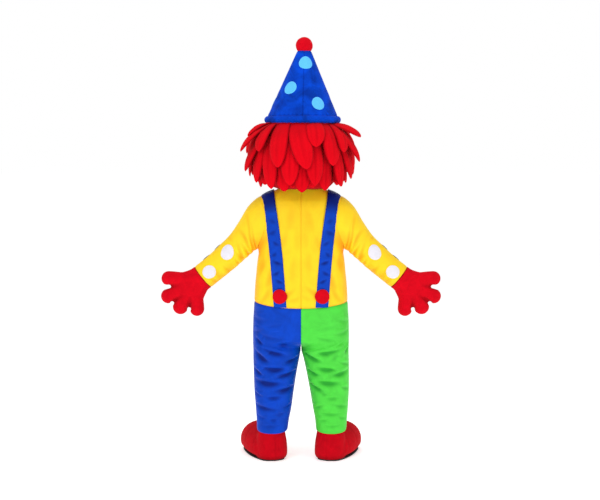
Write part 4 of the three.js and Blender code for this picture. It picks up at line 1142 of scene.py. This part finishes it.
# %% Gloves
def groove(points, start, end, wide, deep):
    """A crease on both faces along a line from start to end, as seen from behind: a bell
    curve across it that fades towards its inner end."""
    start, end = np.array(start, float), np.array(end, float)
    flat = points[:, [0, 2]] - start
    length = np.linalg.norm(end - start)
    axis = (end - start) / length
    t = np.clip(flat @ axis / length, -0.3, 1)
    away = np.linalg.norm(flat - t[:, None] * axis * length, axis=1)
    return -deep * np.exp(-((away / wide) ** 2)) * np.clip(1 - t, 0, 1) ** 0.7


# Between the fingers, from the outline inwards
CREASES = [((664, 878), (600, 888)), ((636, 806), (588, 842)), ((561, 780), (556, 836))]
CREASE_WIDE, CREASE_DEEP = 9.0, 7.0


def palm_tube(around=48):
    """The palm's rings, with the first one gathered in its middle."""
    palm = hand(*grid_of(full_turn(around), np.linspace(0, 6, 50)))
    low_end = (palm[: around // 2, :1] + palm[around // 2 :, :1]) / 2
    middle = np.broadcast_to(low_end.mean(0, keepdims=True), palm[:, :1].shape)
    return np.concatenate([middle, palm], axis=1)


def glove_skin(name):
    """Palm and fingers joined, creased between the fingers and cut open at the cuff, the
    slanted line between the two ends of the hand's first row."""
    tubes = [grid_mesh(name, palm_tube(), wrap=True, closed=True)]
    u, v = grid_of(full_turn(36), np.linspace(0, 2, 34))
    for finger_name, *form in zip(*FINGERS.values()):
        tube = capped(finger(*form, u, v))
        tubes.append(grid_mesh(f"{name}_{finger_name}", tube, wrap=True, closed=True))
    skin = joined(tubes, 5)
    points, normal = verts_of(skin.data), mesh_normals(skin.data)
    push = sum(groove(points, a, b, CREASE_WIDE, CREASE_DEEP) for a, b in CREASES)
    put_verts(skin.data, points + push[:, None] * normal)
    # Painted shade in the creases between the fingers
    set_painted_shade(skin.data, np.clip(-push / 11, 0, 1))
    up_x, up_z, low_x, low_z = (HAND[c][0] for c in ("up_x", "up_z", "low_x", "low_z"))
    cuff = np.array([(up_x + low_x) / 2, 0, (up_z + low_z) / 2])
    toward_arm = unit(np.array([-(up_z - low_z), 0.0, up_x - low_x]))
    open_end(skin.data, cuff, toward_arm, 2.5)
    return skin


def mirror_piece(piece, name):
    """A copy on the wearer's right, with its faces turned back outwards."""
    mesh = piece.data.copy()
    put_verts(mesh, verts_of(mesh) * [-1, 1, 1])
    mesh.flip_normals()
    return placed(name, mesh)


left_glove = glove_skin("left_glove_bag")
gloves = {"left": left_glove, "right": mirror_piece(left_glove, "right_glove_bag")}
for side, piece in gloves.items():
    wall(piece, 3.0)
    dress(piece, RED_FLEECE, "red_fleece", f"glove_{side}")
    print(side, "glove", len(piece.data.polygons), "faces")

# %% [markdown]
# ## Shoes
#
# A shoe is fleece over foam: a rounded heel and ankle, and a bulging toe that turns out.
# The two forms are joined as the gloves are. Seams run up behind the heel and round the
# toe cap, and the foam rests on a thin rubber sole of its own outline.

# %% Shoe forms
SOLE = 7.0  # the sole's thickness
SOLE_REST = 0.4  # from the sole to the foam's lowest section
SHOE_TURN = np.radians(17)
ANKLE_X, ANKLE_Y = 150.0, 3.8
ANKLE = {
    "z": [7.4, 24, 60, 100, 135, 146, 180],
    "wide": [74, 80, 80, 76, 69.5, 68, 65],
    "deep": [76, 80, 80, 75, 65.9, 65.5, 62],
}
FOOT = {
    "s": [-40, 0, 60, 120, 180, 225, 262, 284, 295],
    "inner": [60, 79, 82, 92, 103, 101, 84, 58, 22],
    "outer": [62, 88, 105, 111, 109, 104, 86, 59, 22],
    "tall": [92, 128, 138, 147, 153, 147, 124, 94, 60],
}
SOLE_OUTLINE = {
    "s": [-74, -62, -35, 10, 70, 130, 185, 230, 262, 280, 287],
    "inner": [0, 44, 64, 72, 76, 87, 97, 93, 74, 46, 0],
    "outer": [0, 46, 68, 86, 100, 104, 102, 95, 75, 46, 0],
}


def on_shoe(s, across, z):
    """A point s along and across the left shoe, whose toe turns out by 17 degrees."""
    x = ANKLE_X + s * np.sin(SHOE_TURN) + across * np.cos(SHOE_TURN)
    y = ANKLE_Y - s * np.cos(SHOE_TURN) + across * np.sin(SHOE_TURN)
    return np.stack([x, y, z + 0 * x], -1)


def along_shoe(points):
    """The way back: how far along and across the left shoe points lie."""
    x, y = points[:, 0] - ANKLE_X, points[:, 1] - ANKLE_Y
    s = x * np.sin(SHOE_TURN) - y * np.cos(SHOE_TURN)
    return s, x * np.cos(SHOE_TURN) + y * np.sin(SHOE_TURN)


def ankle(u, v):
    """Level ellipses from the heel to the ankle."""
    x = ANKLE_X + read(ANKLE, "wide", v) * np.cos(u)
    y = ANKLE_Y + read(ANKLE, "deep", v) * np.sin(u)
    return np.stack([x, y, v], -1)


def foot(u, v):
    """Upright sections from heel to toe: the upper part nearly an ellipse, the lower one
    squarer, widest a third of the way up, and the outer side fuller than the inner."""
    wide = np.where(np.cos(u) > 0, read(FOOT, "outer", v), read(FOOT, "inner", v))
    tall = read(FOOT, "tall", v)
    base = SOLE + SOLE_REST
    waist = base + 0.36 * (tall - base)
    s = np.sin(u)
    across = wide * signed_power(np.cos(u), np.where(s < 0, 0.5, 0.92))
    low = waist + (waist - base) * signed_power(s, 0.6)
    return on_shoe(v, across, np.where(s < 0, low, waist + (tall - waist) * s))


print("shoe", FOOT["s"][-1] - ANKLE["deep"][-1], "mm in front of the ankle")

# %% Shoes
def shoe_seams(points, normal):
    """Dips along the seam behind the heel, the one that curves round the toe cap and the
    steep one at each side, fading towards the sole."""
    s, across = along_shoe(points)
    z = points[:, 2]
    upright = np.abs(normal[:, 2]) < 0.8
    heel = seam_dip(across, 0.9, 4.0) * (s < 40) * upright
    cap = seam_dip(s - 150 + 0.35 * np.abs(across) - 0.1 * (z - 80), 1.2, 4.0)
    side = seam_dip(s - 8 - 0.15 * z, 1.0, 5.0) * (np.abs(across) > 40) * upright
    return (heel + cap + side) * smoothstep(10, 22, z)


def shoe_skin(name):
    """Ankle and foot joined, seamed, resting on the sole and cut open at the ankle. The
    shoe gets painted shade all over, most of all near the floor and in its seams."""
    top = ANKLE["z"][-1]
    levels = even_steps(SOLE + SOLE_REST, top, 40)
    heel = capped(ankle(*grid_of(full_turn(64), levels)))
    toe = capped(foot(*grid_of(full_turn(64), even_steps(FOOT["s"][0], FOOT["s"][-1], 70))))
    tubes = [
        grid_mesh(name, heel, wrap=True, closed=True),
        grid_mesh(name + "_toe", toe, wrap=True, closed=True),
    ]
    skin = joined(tubes, 6)
    points, normal = verts_of(skin.data), mesh_normals(skin.data)
    push = shoe_seams(points, normal)
    points = points + push[:, None] * normal
    points[:, 2] = np.maximum(points[:, 2], SOLE + 0.3)
    put_verts(skin.data, points)
    # Painted shade: a little all over, more near the floor and in the seams
    under = 0.55 * smoothstep(34, 8, points[:, 2]) + 0.12 * np.clip(-push, 0, 1)
    set_painted_shade(skin.data, np.clip(0.26 + under, 0, 1))
    open_end(skin.data, np.array([0, 0, top]), np.array([0, 0, 1.0]), 3.0)
    return skin


left_shoe = shoe_skin("left_shoe_upper")
shoes = {"left": left_shoe, "right": mirror_piece(left_shoe, "right_shoe_upper")}
for side, piece in shoes.items():
    wall(piece, 6.0)
    dress(piece, RED_FLEECE, "red_fleece", f"shoe_{side}")
    print(side, "shoe", len(piece.data.polygons), "faces")

# %% Soles
SOLE_MIDDLE, SOLE_HALF = 106.5, 180.5  # where the outline's middle lies, and its half length
SOLE_NARROW = 60.0  # an inset of this takes the outline in to a line
# Each level ring of the sole: its height, and how far in from the outline it is
SOLE_RINGS = {
    "level": [0, 0, 0.6, 2.0, 6.2, SOLE, SOLE],
    "inset": [SOLE_NARROW, 7.0, 5.0, 4.0, 4.0, 4.6, SOLE_NARROW],
}


def sole_points():
    """Level rings of the sole's outline: a rounded lower edge, an upright side and a flat
    top, gathered to a line in the middle above and below."""
    angle = full_turn(96)
    s = SOLE_MIDDLE - SOLE_HALF * np.cos(angle)
    outer, inner = read(SOLE_OUTLINE, "outer", s), read(SOLE_OUTLINE, "inner", s)
    across = np.where(np.sin(angle) > 0, outer, -inner)
    level, inset = (np.array(column)[None, :] for column in SOLE_RINGS.values())
    along = SOLE_MIDDLE + (s[:, None] - SOLE_MIDDLE) * (1 - inset / SOLE_HALF)
    return on_shoe(along, across[:, None] * (1 - inset / SOLE_NARROW), level + 0 * along)


for side, grid in both_sides(sole_points()):
    piece = grid_mesh(f"{side}_sole_sheet", grid, wrap=True, closed=True)
    dress(piece, SOLE_RUBBER, "sole_rubber", f"sole_{side}")
print("2 soles")

# %% [markdown]
# ## Head
#
# The head is a moulded foam shell under skin-coloured fleece, round in plan, closed by
# the hat and the wig above and open at the neck. Hardly any of it shows from behind.
# Its face is plain: two oval eyes, a ball of a nose and a calm, gently curved mouth.

# %% Head
HEAD = {
    "z": [
        1374, 1377, 1386, 1408, 1445, 1500, 1560, 1620,
        1660, 1685, 1700, 1722, 1742, 1754, 1758,
    ],
    "round": [112, 128, 147, 169, 192, 208, 213, 206, 191, 175, 162, 140, 104, 60, 0],
}


def head(u, v):
    """A circle at each height. u is 0 at the wearer's left and a right angle behind."""
    r = read(HEAD, "round", v)
    return np.stack([r * np.cos(u), r * np.sin(u), v + 0 * u], -1)


u, v = grid_of(full_turn(128), even_steps(HEAD["z"][0], HEAD["z"][-1], 120, 0.6))
shell = grid_mesh("head_fleece", head(u, v), wrap=True)
close(shell.data)
wall(shell, 8.0)
dress(shell, SKIN_FLEECE, "skin_fleece", "head_shell")
print("head", 2 * max(HEAD["round"]), "mm wide")

# %% Eyes
FACE = -np.pi / 2  # the front of the head


def face_angle(x, z):
    """The angle on the head of a place x to the wearer's left of the face's middle."""
    return FACE + np.arcsin(x / read(HEAD, "round", z))


EYE = {"x": 74.0, "z": 1572.0}
EYE_FORM = {"wide": 34.0, "tall": 46.0, "lift": 0.6, "thick": 2.4, "crown": 2.6}
PUPIL = {"x": 68.0, "z": 1566.0}
PUPIL_FORM = {"wide": 15.0, "tall": 21.0, "lift": 5.0, "thick": 1.2, "crown": 0.8}
for side, sign in (("left", 1), ("right", -1)):
    eye = patch_points(head, face_angle(sign * EYE["x"], EYE["z"]), EYE["z"], **EYE_FORM)
    piece = grid_mesh(f"{side}_eye_patch", eye, wrap=True, closed=True)
    dress(piece, WHITE_FLEECE, "white_fleece", f"eye_{side}")
    turn = face_angle(sign * PUPIL["x"], PUPIL["z"])
    pupil = patch_points(head, turn, PUPIL["z"], **PUPIL_FORM)
    piece = grid_mesh(f"{side}_pupil_patch", pupil, wrap=True, closed=True)
    dress(piece, BLACK_FELT, "black_felt", f"pupil_{side}")
print("2 eyes")

# %% Nose and mouth
def ball_grid(around, rows):
    """A ball of radius 1: u turns round it, and v climbs from its lower to its upper end."""
    u, v = grid_of(full_turn(around), np.linspace(-np.pi / 2, np.pi / 2, rows))
    return u, v, np.stack([np.cos(u) * np.cos(v), np.sin(u) * np.cos(v), np.sin(v)], -1)


NOSE = {"z": 1512.0, "round": 36.0, "out": 20.0}
u, v, ball = ball_grid(48, 33)
squash = 1 - 0.03 * np.cos(3 * u) * np.cos(v) ** 2  # a stuffed ball is never quite round
middle = [0, -read(HEAD, "round", NOSE["z"]) - NOSE["out"], NOSE["z"]]
points = ball * (NOSE["round"] * squash)[..., None] + middle
nose = grid_mesh("nose_ball", points, wrap=True, closed=True)
dress(nose, RED_FLEECE, "red_fleece", "nose")

MOUTH = {"half": 62.0, "z": 1440.0, "rise": 20.0, "tall": 9.0}
MOUTH_SHARE = 0.998  # of the lens, whose very tips are left out


def mouth_line(u, v):
    """A lens-shaped band that rises with the square of the distance from its middle."""
    lens = MOUTH["tall"] * np.sqrt(np.clip(1 - u**2, 0.02, 1)) * v
    z = MOUTH["z"] + MOUTH["rise"] * u**2 + lens
    return head(face_angle(MOUTH["half"] * u, z), z)


u, v = grid_of(np.linspace(-1, 1, 61), np.linspace(-1, 1, 9))
bulge = 1.6 + 2.6 * np.sqrt(np.clip(1 - v**2, 0, 1)) * np.sqrt(np.clip(1 - u**2, 0, 1))
mouth = grid_mesh("mouth_band", moved(mouth_line, u * MOUTH_SHARE, v * MOUTH_SHARE, bulge))
wall(mouth, 1.4)
dress(mouth, RED_FLEECE, "red_fleece", "mouth")
print("head and face")

# %% [markdown]
# ## Wig
#
# The wig is rows of stuffed, leaf-shaped pockets of fleece, each row glued along a strip
# round the head, the upper rows lying over the lower like feathers. A lock's middle line
# is a parabola through its root, knee and tip. Across, its face is domed with a soft
# crease down the middle, and every lock leans, rolls and reaches a little differently.

# %% Rows and locks
# Each row: its root's height, how far down its bend lies as a share, how far the bend
# stands out from a straight line, and how many degrees from the middle its strip may reach
WIG_ROWS = {
    "root": [1692, 1686, 1632, 1562, 1482],
    "bend": [0.40, 0.46, 0.50, 0.53, 0.52],
    "bulge": [10, 18, 12, -4, -2],
    "strip": [118, 106, 94, 82, 70],
}
STRIP_END = 1381.0  # the height where the last row's strip would meet a next row
# Each lock: where its root and its tip lie, in degrees from the middle of the back to the
# wearer's left, the tip's height, how far out it is, and the lock's width
LOCKS = [
    [
        (-20, -16, 1578, 262, 106), (68, 70.5, 1629, 276, 92), (-66, -69, 1625, 312, 94),
        (108, 112, 1642, 264, 88), (-110, -114, 1636, 266, 88),
    ],
    [
        (64, 68, 1555, 318, 100), (54, 48, 1556, 276, 108), (30, 24, 1480, 274, 112),
        (4, -5.5, 1472, 276, 122), (-40, -34, 1488, 274, 114), (-59, -47, 1552, 282, 106),
        (-62, -67, 1505, 310, 104), (94, 96, 1545, 272, 94), (-95, -97, 1538, 268, 94),
        (110, 113, 1560, 262, 80), (-111, -115, 1552, 264, 80),
        (82, 78, 1505, 264, 100), (-84, -79, 1478, 264, 100),
    ],
    [
        (66, 67, 1459, 296, 98), (60, 56, 1404, 262, 96), (43, 34.5, 1376, 254, 100),
        (13, 12, 1394, 254, 106), (-16, -15.5, 1394, 254, 106), (-50, -48, 1388, 256, 100),
        (-62, -65, 1421, 270, 98), (86, 90, 1436, 240, 92), (-84, -88, 1440, 258, 92),
        (104, 108, 1450, 238, 84), (-104, -108, 1446, 240, 84),
        (78, 80, 1432, 256, 94), (-74, -77, 1452, 262, 94),
    ],
    [
        (28, 20, 1364, 236, 102), (-2, -1, 1360, 236, 98), (-33, -29.5, 1368, 236, 104),
        (54, 52, 1400, 226, 90), (-56, -54, 1402, 226, 90), (76, 76, 1404, 226, 88),
        (-76, -76, 1400, 228, 88), (98, 100, 1398, 214, 84), (-98, -100, 1402, 214, 84),
    ],
    [
        (13, 11, 1382, 204, 92), (-17, -15, 1382, 204, 92), (60, 60, 1392, 204, 88),
        (-60, -60, 1390, 204, 88), (82, 84, 1378, 200, 84), (-82, -84, 1380, 200, 84),
    ],
]
LEAF = {
    "t": [0, 0.12, 0.3, 0.5, 0.66, 0.8, 0.9, 0.96, 1],
    "wide": [0.92, 0.98, 1.04, 1.04, 0.97, 0.8, 0.56, 0.34, 0.03],
    "thick": [0.25, 0.6, 0.9, 1.0, 0.98, 0.85, 0.65, 0.45, 0.1],
}
LOCK_THICK = 24.0
print([len(row) for row in LOCKS], "locks in each row")

# %% The shape of a lock
def uneven(row, i, k):
    """An uneven but fixed amount from -1 to 1: the sine of a large, changing angle."""
    return np.sin(12.9898 * (row * 17 + i) + 4.137 * k)


def lock_line(row, t, tip_z, tip_out):
    """The middle lines of a row's locks, parabolas from root to tip as t goes from 0 to 1:
    how far out and how high they run, and where their faces look, at right angles."""
    root_z, bend, bulge = (WIG_ROWS[c][row] for c in ("root", "bend", "bulge"))
    root_out = read(HEAD, "round", root_z) + 7
    bend_out = (root_out + tip_out) / 2 + bulge
    a, b, c = (1 - t) * (1 - 2 * t), 4 * t * (1 - t), t * (2 * t - 1)
    out = a * root_out + b * bend_out + c * tip_out
    height = a * root_z + b * (root_z + bend * (tip_z - root_z)) + c * tip_z
    slope_out = np.gradient(out, axis=2) / np.gradient(t, axis=2)
    slope_up = np.gradient(height, axis=2) / np.gradient(t, axis=2)
    slope = np.hypot(slope_out, slope_up)
    return out, height, -slope_up / slope, slope_out / slope


def locks(row):
    """All of a row's locks at once, as grids of shape (lock, round, along, 3), and how much
    painted shade each point gets: along the crease, at the edges, beneath and near the root.
    Round a lock its face is domed as a power of the cosine and its underside is flatter.
    The crease and the two beside it are bell curves, and the lock lies on a curve that
    turns in at its edges."""
    table = np.array(LOCKS[row], float)
    turn, tip_turn, tip_z, tip_out, width = table.T[:, :, None, None]
    i = np.arange(len(table))[:, None, None]
    phi = full_turn(32)[None, :, None]
    t = (1 - np.cos(np.linspace(0, np.pi, 34)))[None, None, :] / 2
    out, height, face_out, face_up = lock_line(row, t, tip_z, tip_out)
    half = read(LEAF, "wide", t) * width / 2
    thick = read(LEAF, "thick", t) * LOCK_THICK / 2
    across, face = np.sin(phi), np.cos(phi) > 0
    side = across + 0.08 * uneven(row, i, 6)
    dome = np.abs(np.cos(phi)) ** 0.9 * np.where(face, 1.0, -0.45)
    beside = np.exp(-(((np.abs(side) - 0.52) / 0.09) ** 2)) * 0.45
    middle = (np.exp(-((side / 0.12) ** 2)) + beside) * face * smoothstep(0.05, 0.4, t)
    ripple = 0.10 * np.sin(9 * across + 5 * uneven(row, i, 6) + 6 * t) * face
    roll = 0.12 * uneven(row, i, 7)
    lift = thick * (dome - 0.32 * middle + ripple * np.abs(np.cos(phi))) + roll * across * half
    turned = np.radians(90 - turn + (turn - tip_turn) * t**1.2) - across * half / (out + 30)
    radius = out + lift * face_out - (across * half) ** 2 / (14 * half + 60)
    z = height + lift * face_up
    points = np.stack([radius * np.cos(turned), radius * np.sin(turned), z], -1)
    # Painted shade along the creases, at the edges, near the root under the brim, and all over
    # the underside
    shade = 0.3 * middle * smoothstep(1, 0.7, t) + 0.6 * smoothstep(0.78, 1, np.abs(across))
    shade = shade + 0.3 * smoothstep(0.5, 0, t) + ~face
    shade = np.broadcast_to(np.clip(shade, 0, 1), points.shape[:-1])
    shade = np.pad(shade[:, ::-1], ((0, 0), (0, 0), (1, 1)), mode="edge")
    return capped(points[:, ::-1]), shade


print("locks are up to", LOCK_THICK, "mm thick")

# %% Strips and rows
def root_band(top, low, spread):
    """The backing that the locks of a row are glued to, 5 mm off the head, from its root
    to the next row's."""
    u, v = grid_of(np.radians(90 + np.linspace(-spread, spread, 90)), np.linspace(low, top, 12))
    return moved(head, u, v, np.full(u.shape, 5.0))


for row, root in enumerate(WIG_ROWS["root"]):
    grids, shade = locks(row)
    fleece = grid_mesh(f"wig_row_{row + 1}", grids, wrap=True, closed=True, fold=shade)
    dress(fleece, WIG_FLEECE, "wig_fleece", f"wig_tier_{row + 1}")
    below = [*WIG_ROWS["root"], STRIP_END][row + 1]
    spread = min(np.abs(np.array(LOCKS[row])[:, 0]).max(), WIG_ROWS["strip"][row])
    grid = root_band(root + 6, below - 6, spread)
    # The backing strip gets painted shade all over
    strip = grid_mesh(f"wig_strip_{row + 1}", grid, fold=np.full(grid.shape[:2], 0.5))
    wall(strip, 4.0)
    dress(strip, WIG_FLEECE, "wig_fleece")
print(sum(len(rows) for rows in LOCKS), "locks")

# %% [markdown]
# ## Hat
#
# The hat is velour over a stiff foam cone with a seam down the back, a stuffed roll for
# its brim, a fleece ball on top and fleece dots. The velour is slack over the foam, so it
# dips a little here and there and gathers where the roll is sewn on.

# %% Hat cone
BRIM = {"round": 172.0, "tube": 18.0, "z": 1712.0}
HAT_ROUND, HAT_TIP_ROUND = 174.5, 33.0  # the cone's radii where it meets brim and ball
HAT_BASE = BRIM["z"] + BRIM["tube"] * np.sin(np.radians(60)) + 0.4
HAT_TOP = 2053.0
HAT_SIDE = -8.0  # the hat sits a little towards the wearer's right
HAT_LEAN = -8.0
# Shallow dips of the velour: mm round the hat from the middle of its back, and height
HAT_FOLDS = [
    (-70, 1775, 60, 14, 1.6, 12, 6), (40, 1768, 70, 12, 1.8, -8, 6),
    (110, 1800, 60, 16, 1.6, 30, 6), (-20, 1850, 60, 22, 1.4, 60, 6),
    (60, 1900, 50, 20, 1.4, -50, 6), (-60, 1905, 50, 18, 1.2, 70, 4),
    (-150, 1790, 60, 14, 1.6, -14, 6), (170, 1785, 60, 14, 1.6, 10, 6),
    (230, 1850, 60, 20, 1.4, 50, 6), (-230, 1840, 60, 20, 1.4, -55, 6),
    (320, 1790, 60, 14, 1.6, 10, 6), (-330, 1800, 60, 14, 1.6, -10, 6),
]


def up_hat(v):
    """How far up the cone a height is, as a share, and the cone's radius there, which
    falls evenly."""
    share = (v - HAT_BASE) / (HAT_TOP - HAT_BASE)
    return share, HAT_ROUND + (HAT_TIP_ROUND - HAT_ROUND) * share


def hat(u, v):
    """A straight cone whose tip leans to the wearer's right. u is 0 at the wearer's left
    and a right angle behind."""
    share, r = up_hat(v)
    x = HAT_SIDE + HAT_LEAN * share + r * np.cos(u)
    return np.stack([x, r * np.sin(u), v + 0 * u], -1)


# The cloth starts and ends at the seam behind
u, v = grid_of(
    np.radians(even_steps(90, 450, 180, 0.3)), even_steps(HAT_BASE, HAT_TOP, 120, 0.4)
)
plain = hat(u, v)
from_back = (np.degrees(u) - 90 + 180) % 360 - 180
push = folds(HAT_FOLDS, -np.radians(from_back) * up_hat(v)[1], v)
gather = 1.1 * np.sin(38 * u + 3 * np.sin(5 * u)) * smoothstep(HAT_BASE + 34, HAT_BASE, v)
run = run_of(plain, 0)
push += gather + seam_dip(run, 1.2, 3.5) + seam_dip(run[-1:] - run, 1.2, 3.5)
push += seam_dip(v - HAT_BASE, 2.0, 6.0) + seam_dip(HAT_TOP - v, 2.0, 6.0)
hat_grid = plain + push[..., None] * normals_of(hat, u, v)
# Painted shade in the dips, gathers and seams of the velour
cone = grid_mesh("hat_velour", hat_grid, fold=np.clip(-push / 5, 0, 1))
wall(cone, 3.0)
dress(cone, BLUE_VELOUR, "blue_velour", "hat_cone")
print("hat cut", np.round(cut_of(hat_grid), 3), "m")

# %% Brim and ball
u, v = grid_of(full_turn(180), np.linspace(0, 2 * np.pi, 33))
# The roll's gathers, which fade towards its top
wrinkle = 0.8 * np.sin(31 * u + 2.5 * np.sin(4 * u) + 1.5 * np.cos(v)) * (0.6 - 0.4 * np.sin(v))
tube = BRIM["tube"] + wrinkle
radius = BRIM["round"] + tube * np.cos(v)
x, y = HAT_SIDE + radius * np.cos(u), radius * np.sin(u)
roll = np.stack([x, y, BRIM["z"] + tube * np.sin(v)], -1)
brim = grid_mesh("hat_brim_roll", roll, wrap=True, closed=True)
dress(brim, BLUE_VELOUR, "blue_velour", "hat_brim")

BALL = {"round": 42.0, "z": 2077.0}
u, v, ball = ball_grid(64, 41)
tufty = BALL["round"] * (1 + 0.012 * np.sin(5 * u + 2 * np.sin(3 * v)) * np.cos(v))
points = ball * tufty[..., None] + [HAT_SIDE + HAT_LEAN, 0, BALL["z"]]
pompom = grid_mesh("hat_ball", points, wrap=True, closed=True)
dress(pompom, RED_FLEECE, "red_fleece", "hat_pompom")
print("ball", 2 * BALL["round"], "mm across")

# %% Hat dots
HAT_DOTS = {"z": [1990, 1866, 1789, 1796, 1946, 1836], "at": [-8, 34, -30, 104, 158, -128]}
HAT_DOT_FORM = {"wide": 34.0, "tall": 34.0, "lift": 0.6, "thick": 1.6, "crown": 0.6}
for k, (z, at) in enumerate(zip(*HAT_DOTS.values())):
    dot = patch_points(hat, np.radians(90 - at), z, **HAT_DOT_FORM)
    piece = grid_mesh(f"hat_dot_patch_{k + 1}", dot, wrap=True, closed=True)
    dress(piece, SKY_FLEECE, "sky_fleece", f"hat_dot_{k + 1}")
print("hat with", len(HAT_DOTS["z"]), "dots")

# %% [markdown]
# ## Floor and light
#
# A wide pale floor and a nearly white surround, as in a product photograph, with large
# soft lamps: one from each side of the camera and one above, so that folds are modelled
# gently and no shadow is hard.

# %% Floor and lamps
FLOOR_REACH = 60.0  # metres
FLOOR_Z = -HOLD_HEIGHT * 0.001
corners = [(-1, -1), (1, -1), (1, 1), (-1, 1)]
floor_mesh = bpy.data.meshes.new("floor")
floor_mesh.from_pydata(
    [(x * FLOOR_REACH, y * FLOOR_REACH, FLOOR_Z) for x, y in corners], [], [(0, 1, 2, 3)]
)
floor = placed("floor", floor_mesh)
paper, paper_shader = new_material("pale_floor")
paper_shader.inputs["Base Color"].default_value = linear("#fbfbfb")
paper_shader.inputs["Roughness"].default_value = 0.95
# The paper is lit from far and wide, more than the lamps near the costume can reach
paper_shader.inputs["Emission Color"].default_value = linear("#ffffff")
paper_shader.inputs["Emission Strength"].default_value = 0.46
floor_mesh.materials.append(paper)

world = bpy.data.worlds.new("surround")
bpy.context.scene.world = world
world.use_nodes = True
backdrop = next(n for n in world.node_tree.nodes if n.type == "BACKGROUND")
backdrop.inputs["Color"].default_value = linear("#ffffff")
# The surround is seen as white paper, but lights the costume a little over half as much
rays = add_node(world, "ShaderNodeLightPath")
strength = add_node(
    world, "ShaderNodeMapRange",
    {"To Min": 0.57, "To Max": 1.0},
    Value=rays.outputs["Is Camera Ray"],
)
world.node_tree.links.new(strength.outputs["Result"], backdrop.inputs["Strength"])

LAMPS = {
    "name": ["key", "fill", "top", "front"],
    "place": [(2.6, 4.2, 1.9), (-3.0, 3.8, 0.1), (0.0, 0.5, 3.6), (0.0, -4.0, 2.0)],
    "size": [2.2, 2.6, 2.6, 2.6],
    "watts": [60, 36, 44, 40],
}
for name, place, size, watts in zip(*LAMPS.values()):
    lamp = bpy.data.lights.new(name, "AREA")
    lamp.size, lamp.energy = size, watts
    holder = placed(name, lamp)
    holder.location = place
    toward = -np.array(place)  # each lamp looks at the wearer's shoulders
    turn = np.arctan2(toward[1], toward[0]) - np.pi / 2
    tip = np.arctan2(toward[2], np.hypot(toward[0], toward[1]))
    holder.rotation_euler = (np.pi / 2 + tip, 0.0, turn)
print(len(LAMPS["name"]), "lamps")
